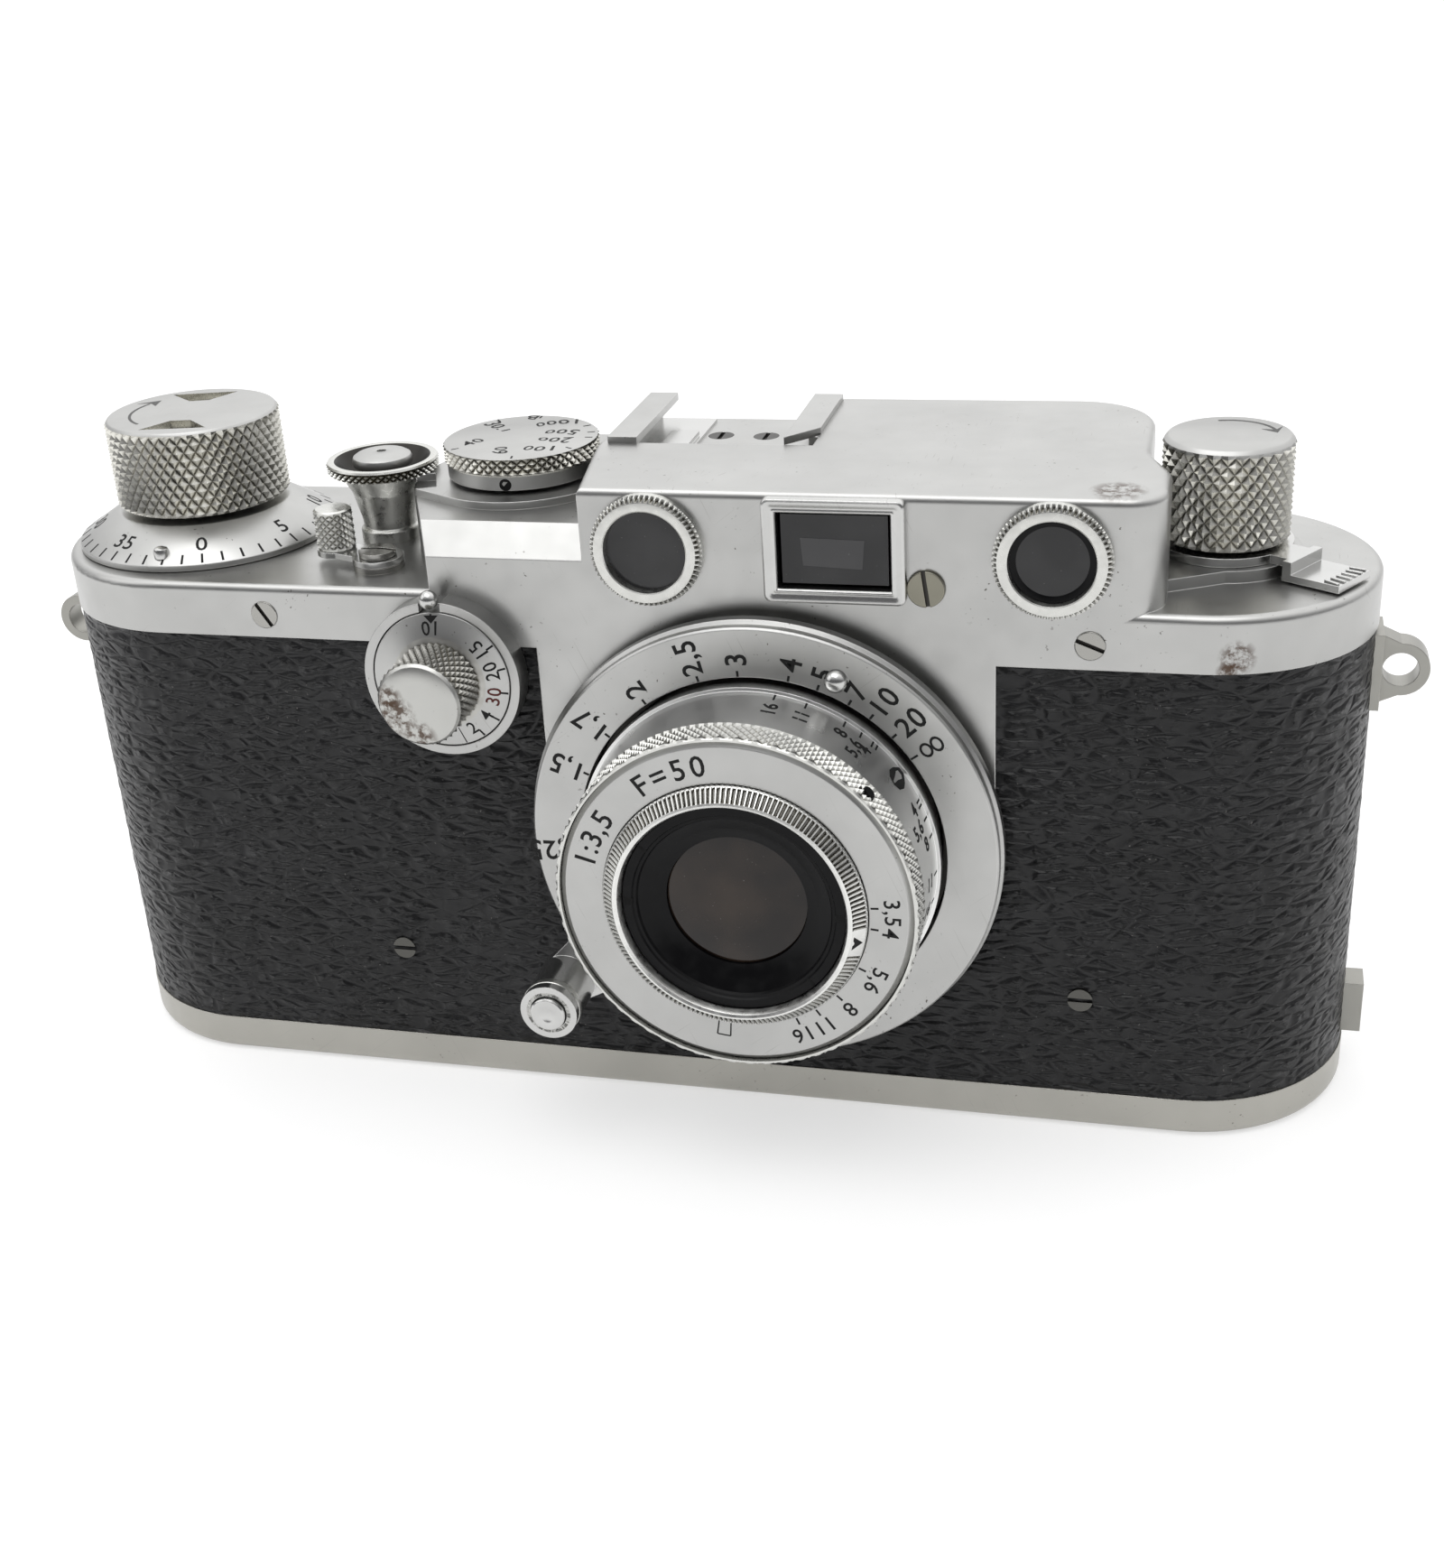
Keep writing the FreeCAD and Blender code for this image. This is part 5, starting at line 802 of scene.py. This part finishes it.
def finder_frame():
    """The viewfinder's raised frame: a rounded rim, a shallow gutter and a lip round the pane."""
    low, high = (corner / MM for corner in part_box("viewfinder_frame"))
    rear, front = -high.y, -low.y
    seat = 16.15
    rows = [(1.36, rear), (1.36, seat), (0.05, seat), (0.05, front - 0.35), (0.12, front - 0.12),
            (0.3, front), (0.62, front - 0.02), (0.8, front - 0.14), (1.0, front - 0.16),
            (1.16, front - 0.08), (1.3, front - 0.12), (1.42, front - 0.3), (1.5, rear)]
    steps = 6
    made = bmesh.new()
    loops = []
    for inset, height in rows:
        round_off = max(0.12, 0.75 - inset * 0.5)
        loop = []
        for side, (sx, sz) in enumerate(((1, 1), (-1, 1), (-1, -1), (1, -1))):
            x = (high.x if sx > 0 else low.x) - sx * (inset + round_off)
            z = (high.z if sz > 0 else low.z) - sz * (inset + round_off)
            for i in range(steps + 1):
                turn = math.radians(90 * side + 90 * i / steps)
                spot = Vector((x + round_off * math.cos(turn), -height, z + round_off * math.sin(turn)))
                loop.append(made.verts.new(spot * MM))
        loops.append(loop)
    for first, second in zip(loops, loops[1:] + loops[:1]):
        for i in range(len(first)):
            j = (i + 1) % len(first)
            made.faces.new([first[i], first[j], second[j], second[i]])
    show("viewfinder_frame_rim", made, frame_metal, "chassis", "bright_chrome", "viewfinder_frame")
    # the bright eyepiece, seen through the finder
    glimpse = bmesh.new()
    middle_x, middle_z = (low.x + high.x) / 2 - 0.3, (low.z + high.z) / 2 - 0.5
    corners = [(-2.9, 1.6), (3.1, 1.45), (2.85, -1.35), (-2.7, -1.1)]
    prism(glimpse, *([Vector((middle_x + x, -depth, middle_z + z)) for x, z in corners]
                     for depth in (seat, seat + 0.08)))
    show("viewfinder_glimpse", glimpse, grey_glass, "chassis", "optical_glass")


def rewind_knob():
    """The knurled rewind knob, with the turning arrow on its top."""
    axis = axis_of("rewind_knob", "up")
    low, high = heights("rewind_knob", "up")
    radius, under, neck = 6.15, 58.45, 3.0
    rows = [(0, low), (neck, low), (neck, under), (radius - 0.6, under), (radius - 0.25, under + 0.15)]
    rows += knurl_rows(radius, under + 0.4, high - 0.75, 12, 0.48)
    rows += [(radius - 0.16, high - 0.42), (radius - 0.45, high - 0.08), (radius - 0.6, high), (0, high)]
    made = show("rewind_knob_knurled", turned(axis, rows, 56), knurl, "rewinder", "satin_chrome",
                "rewind_knob")
    coat(made, white_metal, lambda middle: middle.z > high - 0.6)
    marks = Marks(Face(axis, 0.0, high))
    marks.bow(4.35, 105, 20, 0.3)
    marks.shape([(-1.1, 0.9), (0, -0.8), (1.1, 0.9), (0.2, 0.3), (-0.2, 0.3)], 4.35, 16)
    marks.done("rewind_arrow", "rewinder", cut_line)


def diopter_ridges():
    """Small teeth on the end of the dioptre lever's tab."""
    axis = axis_of("rewind_knob", "up")
    tab_top, tab_out, teeth, apart = 57.0, 13.1, 6, 4.0
    ridges = Marks(Face(axis, 0.0, tab_top))
    for i in range(teeth):
        ridges.shape(box_outline(-0.75, 0.75, 0.16), tab_out,
                     DIOPTER_ANGLE - apart * (teeth - 1) / 2 + apart * i, depth=0.15, proud=0.16)
    ridges.done("diopter_tab_ridges", "diopter", bright)


SLOT_DEPTH = 0.4
SLOT_HALF = 0.2


def slotted_head(name, facing, place, radius, foot, top, slot_angle, look, *nodes):
    """A flat screw head with its slot turned to an angle. Its slot is painted dark as shade."""
    axis = Axis(place, facing)
    rows = [(0, foot), (radius, foot), (radius, top - 0.06), (radius - 0.07, top), (0, top)]
    made = show(name, turned(axis, rows, 40), look, "chassis", "screw_steel", *nodes)
    turn = math.radians(slot_angle)
    along = axis.right * math.cos(turn) + axis.over * math.sin(turn)
    aside = axis.over * math.cos(turn) - axis.right * math.sin(turn)
    reach = 1.2 * radius
    corners = box_outline(-reach, reach, SLOT_HALF)
    cutter = bmesh.new()
    prism(cutter, *([axis.middle + axis.out * height + along * a + aside * b for a, b in corners]
                    for height in (top - SLOT_DEPTH, top + SLOT_DEPTH)))
    carve(made, cutter)

    def in_slot(middle):
        height = middle.dot(axis.out)
        away = (middle - axis.middle - axis.out * height).length
        return height < top - 0.1 and away < radius - 0.04

    # painted shade in the slot
    coat(made, dark_steel_and_shade, in_slot)


def screws():
    """The four screws of the top cover, and the one that sets the rangefinder."""
    low, high = (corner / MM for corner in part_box("cover_screws"))
    radius = (high.z - low.z) / 2
    middle = (low.z + high.z) / 2
    left, right = low.x + radius, high.x - radius
    heads = (("front_left", "ahead", left, -58), ("front_right", "ahead", right, 158),
             ("rear_left", "back", left, 20), ("rear_right", "back", right, 75))
    for name, facing, x, slot_angle in heads:
        nodes = ("cover_screws",) if name == "front_left" else ()
        slotted_head("cover_screw_" + name, facing, Vector((x, 0, middle)), radius, 15.4, high.y,
                     slot_angle, screw_metal, *nodes)
    low, high = (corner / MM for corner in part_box("adjuster_screw"))
    slotted_head("adjuster_screw_head", "ahead", (low + high) / 2, (high.z - low.z) / 2, -high.y,
                 -low.y, 98, dull_screw, "adjuster_screw")


# ------------------------------------------------------------------ lens
lens = axis_of("name_ring", "ahead")
INFINITY_ANGLE = 35.5
FOCUS_THROW = 189.0
NEAREST = 1.0
LENS_STEP = 0.1


def scale_angle(metres):
    """Where a distance stands on the scale: the throw is shared out by the lens's extension."""
    return INFINITY_ANGLE + FOCUS_THROW * (NEAREST - LENS_STEP) / (metres - LENS_STEP)


def distance_scale():
    """The infinity sign and the distances in metres, on the face of the lens flange."""
    face, inner, tall = 19.9, 18.35, 2.1
    lobe_wide, lobe_high, lobe_shift, count = 0.62, 0.8, 0.6, 18
    marks = Marks(Face(lens, 0.0, face))
    marks.tick(inner, inner + 0.8, INFINITY_ANGLE, 0.22)
    for side in (-1, 1):
        shift = lobe_shift * side
        turns = [math.tau * i / count for i in range(count)]
        ring = [(lobe_wide * math.cos(turn) + shift, lobe_high * math.sin(turn)) for turn in turns]
        hole = [(shift + (a - shift) * 0.62, u * 0.66) for a, u in ring]
        for i in range(count):
            j = (i + 1) % count
            marks.shape([ring[i], ring[j], hole[j], hole[i]], 20.75, INFINITY_ANGLE)
    for metres in (20, 10, 7, 5, 4, 3, 2.5, 2, 1.7, 1.5, 1.25, 1):
        angle = scale_angle(metres)
        words = ("%g" % metres).replace(".", ",")
        middle = 19.3 + 0.76 * len(words.replace(",", ""))
        marks.tick(inner, inner + 0.6, angle, 0.24)
        marks.text(words, tall, middle, angle, 0, wide=0.95, bold=0.02)
    marks.done("distance_figures", "chassis")


def depth_scale():
    """Aperture figures each side of the index, on the cone of the focusing ring."""
    rear_radius, front_radius, rear, front = 17.5, 16.9, 21.3, 27.8
    slope = math.degrees(math.atan2(front - rear, rear_radius - front_radius))
    marks = Marks(Face(lens, front_radius, front, slope))
    root = math.hypot(front - rear, rear_radius - front_radius)
    spans = {"4": 12.5, "5,6": 17.0, "8": 23.0, "11": 36.0, "16": 46.0}
    for side in (-1, 1):
        marks.tick(root - 1.0, root - 0.1, INFINITY_ANGLE + side * 10.8, 0.2)
        for words, span in spans.items():
            angle = INFINITY_ANGLE + side * span
            marks.tick(root - 1.1, root - 0.1, angle, 0.2)
            shift = 1.5 if words == "4" else 0.0
            marks.text(words, 1.4, root - 1.75 - 0.45 * len(words), angle + shift, 0, bold=0.03)
    drop = [(2.0, 0.35), (2.0, -0.35), (1.1, -0.95), (0.3, -1.15), (-0.5, -0.8), (-0.85, 0.0),
            (-0.5, 0.8), (0.3, 1.15), (1.1, 0.95)]
    marks.shape(drop, root - 2.0, INFINITY_ANGLE)
    marks.done("depth_figures", "focus")


def lens_grip():
    """The barrel that slides out, with its diamond knurled grip."""
    rear, behind, front, floor = -4.0, 27.9, 31.35, 29.2
    bore, barrel, grip, lip = 15.0, 16.25, 17.4, 16.9
    rows = [(bore, rear), (barrel, rear), (barrel, behind), (17.2, behind), (17.3, behind + 0.12)]
    rows += knurl_rows(grip, behind + 0.3, front - 0.35, 7, 0.34)
    rows += [(17.28, front - 0.12, RIBS, 0.12, 0.0), (17.1, front), (lip, front), (lip, floor),
             (bore, floor)]
    show("lens_grip_knurled", turned(lens, rows, 248, ring=True), fine_knurl, "lens_barrel",
         "bright_chrome", "lens_tube")
    dot = Marks(Face(lens, grip, 29.6, 90))
    dot.shape(disc_outline(0.62), 0.0, 43, depth=0.3, proud=0.05)
    dot.done("grip_index_dot", "lens_barrel", lacquer)


def name_ring():
    """The aperture scale on the front ring, the lens's plain data and a small drawn bracket."""
    face, inner, middle, tall = 31.2, 12.85, 14.5, 2.1
    marks = Marks(Face(lens, 0.0, face))
    apertures = (("3,5", 3.6), ("4", -6.0), ("5,6", -25.8), ("8", -43.0), ("11", -55.0), ("16", -65.0))
    for words, angle in apertures:
        marks.tick(inner, inner + 0.75, angle, 0.2)
        marks.text(words, 1.55, middle + 0.25, angle - 0.6 * len(words), -90)
    marks.text("F=50", tall, middle, 112, -90, spacing=1.3)
    marks.text("1:3,5", tall, middle, 154, -90)
    bracket, half_span, top, thin = -97, 2.6, 14.3, 0.14
    for side in (-1, 1):
        marks.tick(inner, top, bracket + side * half_span, thin)
    marks.bow(top, bracket - half_span, bracket + half_span, thin)
    marks.done("aperture_figures", "lens_barrel")


def aperture_ring():
    """The ring that sets the aperture: a ribbed cone with a smooth place for its index."""
    index, ribs = -11.5, 160
    bore, edge, rear = 10.75, 12.6, 29.0
    low_radius, low, high_radius, high = 12.5, 31.68, 11.5, 32.5
    rows = [(bore, rear), (edge, rear), (edge, 31.5), (edge - 0.04, 31.6, RIBS, 0.06, 0.0),
            (low_radius, low, RIBS, 0.2, 0.2), (high_radius, high, RIBS, 0.2, 0.24), (11.4, 32.62),
            (11.2, 32.68), (10.95, 32.55), (bore, 32.2)]
    mesh = turned(lens, rows, RIB_COLUMNS * ribs, ring=True, smooth=(index, 6.0))
    show("aperture_ring_ribbed", mesh, ribbed, "iris_control", "bright_chrome", "aperture_ring")
    slope = math.degrees(math.atan2(high - low, low_radius - high_radius))
    marks = Marks(Face(lens, high_radius, high, slope))
    marks.shape([(0.95, 0.0), (-0.1, 0.72), (-0.1, -0.72)], 0.2, index)
    marks.done("aperture_index", "iris_control")


def front_bezel():
    """The black ring in front of the glass, with slots for a wrench."""
    rear, shoulder, seat, front = 25.5, 27.8, 30.1, 31.8
    bore, flange, edge = 6.75, 15.0, 10.65
    profile = [(bore, rear), (flange, rear), (flange, shoulder), (edge, shoulder), (edge, front - 0.12),
               (10.55, front), (9.75, front), (9.62, front - 0.18), (9.35, front - 0.2),
               (9.2, front - 0.45), (8.0, seat + 0.62), (7.75, seat + 0.45), (bore, seat + 0.1)]
    show("bezel_turned", turned(lens, profile, 160, ring=True), lacquer, "lens_barrel",
         "black_lacquer", "front_bezel")
    slots = Marks(Face(lens, 0.0, front))
    for angle, width in ((-1, 0.75), (179, 0.75), (145, 0.3), (-45, 0.3)):
        slots.shape(box_outline(-0.45, 0.4, width / 2), 10.1, angle, depth=0.35)
    slots.done("bezel_slots", "lens_barrel", cloth)


def focus_knob():
    """The ribbed skirt and the stepped head of the focusing lever's knob."""
    axis = axis_of("infinity_lock_button", "ahead")
    rear, front, bore, foot, skirt, ribs = 20.9, 27.5, 1.9, 2.6, 2.9, 36
    rows = [(bore + 0.1, rear), (foot, rear), (foot, 22.0), (skirt, 22.3), (skirt, 22.4, RIBS, 0.2, 0.0),
            (skirt, 25.6, RIBS, 0.2, 0.0), (2.97, 25.8), (3.0, 26.2), (3.0, 26.5), (skirt, 26.62),
            (2.45, 26.66), (2.4, 26.75), (2.4, front - 0.1), (2.3, front), (bore + 0.05, front),
            (bore, front - 0.2), (bore, rear)]
    show("focus_knob_ribbed", turned(axis, rows, RIB_COLUMNS * ribs, ring=True), fine_knurl, "focus",
         "bright_chrome")
    head = heights("infinity_lock_button", "ahead")[1]
    button, under = 1.8, 26.05
    rows = [(0, under), (button, under), (button, head - 0.15), (button - 0.15, head), (1.0, head),
            (0.8, head - 0.08), (0.4, head - 0.2), (0, head - 0.24)]
    show("lock_button_head", turned(axis, rows, 48), bright, "infinity_lock", "bright_chrome",
         "infinity_lock_button")


# ------------------------------------------------------------------ leather
def leather():
    """Hard rubber skin round the body, cut away round the lens, with a slightly uneven face."""
    end, outer, bottom, top = 51.8, 16.1, 4.35, 50.55
    cut, thickness, unevenness, fade = 22.45, 0.55, 0.07, 0.5
    middle_x, middle_z = lens.middle.x, lens.middle.z
    step, turns = 0.5, 100
    straight = [-end]
    for x in (middle_x - cut, middle_x + cut, end):
        count = max(1, round((x - straight[-1]) / step))
        start = straight[-1]
        straight += [start + (x - start) * (i + 1) / count for i in range(count)]
    path = []
    for side, along in ((1, straight), (-1, straight[::-1])):
        path += [(x, -side * outer, 0, -side) for x in along]
        for i in range(1, turns):
            turn = math.radians(-90 + 180 * i / turns)
            nx, ny = side * math.cos(turn), side * math.sin(turn)
            path.append((side * end + outer * nx, outer * ny, nx, ny))
    levels = round((top - bottom) / step)
    courses = [bottom + (top - bottom) * i / levels for i in range(levels + 1)]
    made = bmesh.new()
    grid = []
    for x, y, nx, ny in path:
        column = []
        for z in courses:
            place = Vector((x, y, z))
            if ny == -1 and z < middle_z:
                away = Vector((x - middle_x, 0, z - middle_z))
                if cut - step * 0.75 < away.length < cut:
                    place = Vector((middle_x, y, middle_z)) + away.normalized() * cut
            stretched = Vector((place.x * 0.5, place.y * 0.5, place.z * 1.1))
            lift = noise.fractal(stretched, 0.6, 2.0, 3)
            rim = min(1.0, (z - bottom) / fade, (top - z) / fade)
            place += Vector((nx, ny, 0)) * (unevenness * lift - unevenness) * max(0.0, rim)
            column.append(made.verts.new(place * MM))
        grid.append(column)
    for i in range(len(grid)):
        here, after = grid[i], grid[(i + 1) % len(grid)]
        for j in range(levels):
            corners = [here[j], after[j], after[j + 1], here[j + 1]]
            centre = sum((v.co for v in corners), Vector()) / 4 / MM
            gap = Vector((centre.x - middle_x, 0, centre.z - middle_z))
            inside = abs(gap.x) < cut and (gap.z > 0 or gap.length < cut - step * 0.2)
            if centre.y < -outer + 0.5 and inside:
                continue
            made.faces.new(corners)
    loose = [v for v in made.verts if not v.link_faces]
    bmesh.ops.delete(made, geom=loose, context="VERTS")
    bmesh.ops.recalc_face_normals(made, faces=made.faces)
    bmesh.ops.solidify(made, geom=list(made.faces), thickness=thickness * MM)
    show("leather_skin", made, rubber, "chassis", "vulcanite", "leather_cover")


# ------------------------------------------------------------------ everything, then the studio
wind_knob()
wind_marks()
frame_counter()
release_collar()
release_button()
speed_dial()
lever_post()
slow_dial()
for ring_node in ("window_ring_left", "window_ring_right"):
    window_ring(ring_node)
window_mask()
finder_frame()
screws()
rewind_knob()
diopter_ridges()
distance_scale()
depth_scale()
lens_grip()
name_ring()
aperture_ring()
front_bezel()
focus_knob()
leather()


def studio():
    """A plain white floor, two soft lights and a room that is greyer on the camera's side."""
    scene = bpy.context.scene
    scene.view_settings.view_transform = "Standard"
    bpy.ops.mesh.primitive_plane_add(size=6.0)
    floor = bpy.context.object
    floor.name = "studio_floor"
    floor.location.z = cad_low.z
    paper = Finish("studio_paper", (0.5, 0.5, 0.5), 0.0, 0.9)
    paper.set({"Emission Color": (1, 1, 1), "Emission Strength": 0.55})
    cloud = paper.ramp(paper.noise(60.0, 2.0), 0.3, 0.7)
    shade = paper.mix(cloud, (0.49, 0.49, 0.49), (0.51, 0.51, 0.51))
    floor.data.materials.append(paper.done(shade))

    world = bpy.data.worlds.new("studio")
    world.use_nodes = True
    scene.world = world
    tree = world.node_tree
    coords = add_node(tree, "ShaderNodeTexCoord", {})
    parts = add_node(tree, "ShaderNodeSeparateXYZ", {0: coords.outputs["Generated"]}).outputs
    lean = add_node(tree, "ShaderNodeMath", {0: parts["Y"], 1: 0.55, 2: parts["Z"]},
                    operation="MULTIPLY_ADD")
    ramp = add_node(tree, "ShaderNodeValToRGB", {0: lean.outputs[0]})
    dark, light = ramp.color_ramp.elements
    dark.position, light.position = 0.0, 0.95
    dark.color, light.color = (0.10, 0.10, 0.104, 1), (1.0, 1.0, 1.0, 1)
    background = tree.nodes["Background"].inputs
    background["Strength"].default_value = 1.5
    feed(tree, ramp.outputs[0], background["Color"])

    def lamp(name, place, aim, size, power):
        data = bpy.data.lights.new(name, "AREA")
        data.shape = "RECTANGLE"
        data.size, data.size_y = size
        data.energy = power
        made = add_object(name, data)
        made.location = place
        made.rotation_euler = (Vector(aim) - Vector(place)).to_track_quat("-Z", "Y").to_euler()

    lamp("softbox_over", (-0.08, -0.2, 0.75), (0.0, 0.0, 0.04), (0.7, 0.45), 1.6)
    lamp("softbox_left", (-0.7, -0.25, 0.45), (0.0, 0.0, 0.04), (0.5, 0.5), 0.7)


def camera():
    """A view from ahead, above and to the right: its place in mm, its turns about Z, X and Y."""
    place = Vector((53.28, -189.80, 123.88))
    yaw, pitch, roll = (math.radians(a) for a in (15.09, -25.82, 3.50))
    data = bpy.data.cameras.new("photo_camera")
    data.sensor_width = 36.0
    data.lens = 46.53
    data.clip_start, data.clip_end = 0.01, 20.0
    made = add_object("photo_camera", data)
    turn = (Matrix.Rotation(yaw, 4, "Z") @ Matrix.Rotation(pitch, 4, "X")
            @ Matrix.Rotation(roll, 4, "Y") @ Matrix.Rotation(math.radians(90), 4, "X"))
    made.matrix_world = Matrix.Translation(place * MM) @ turn
    bpy.context.scene.camera = made


studio()
camera()
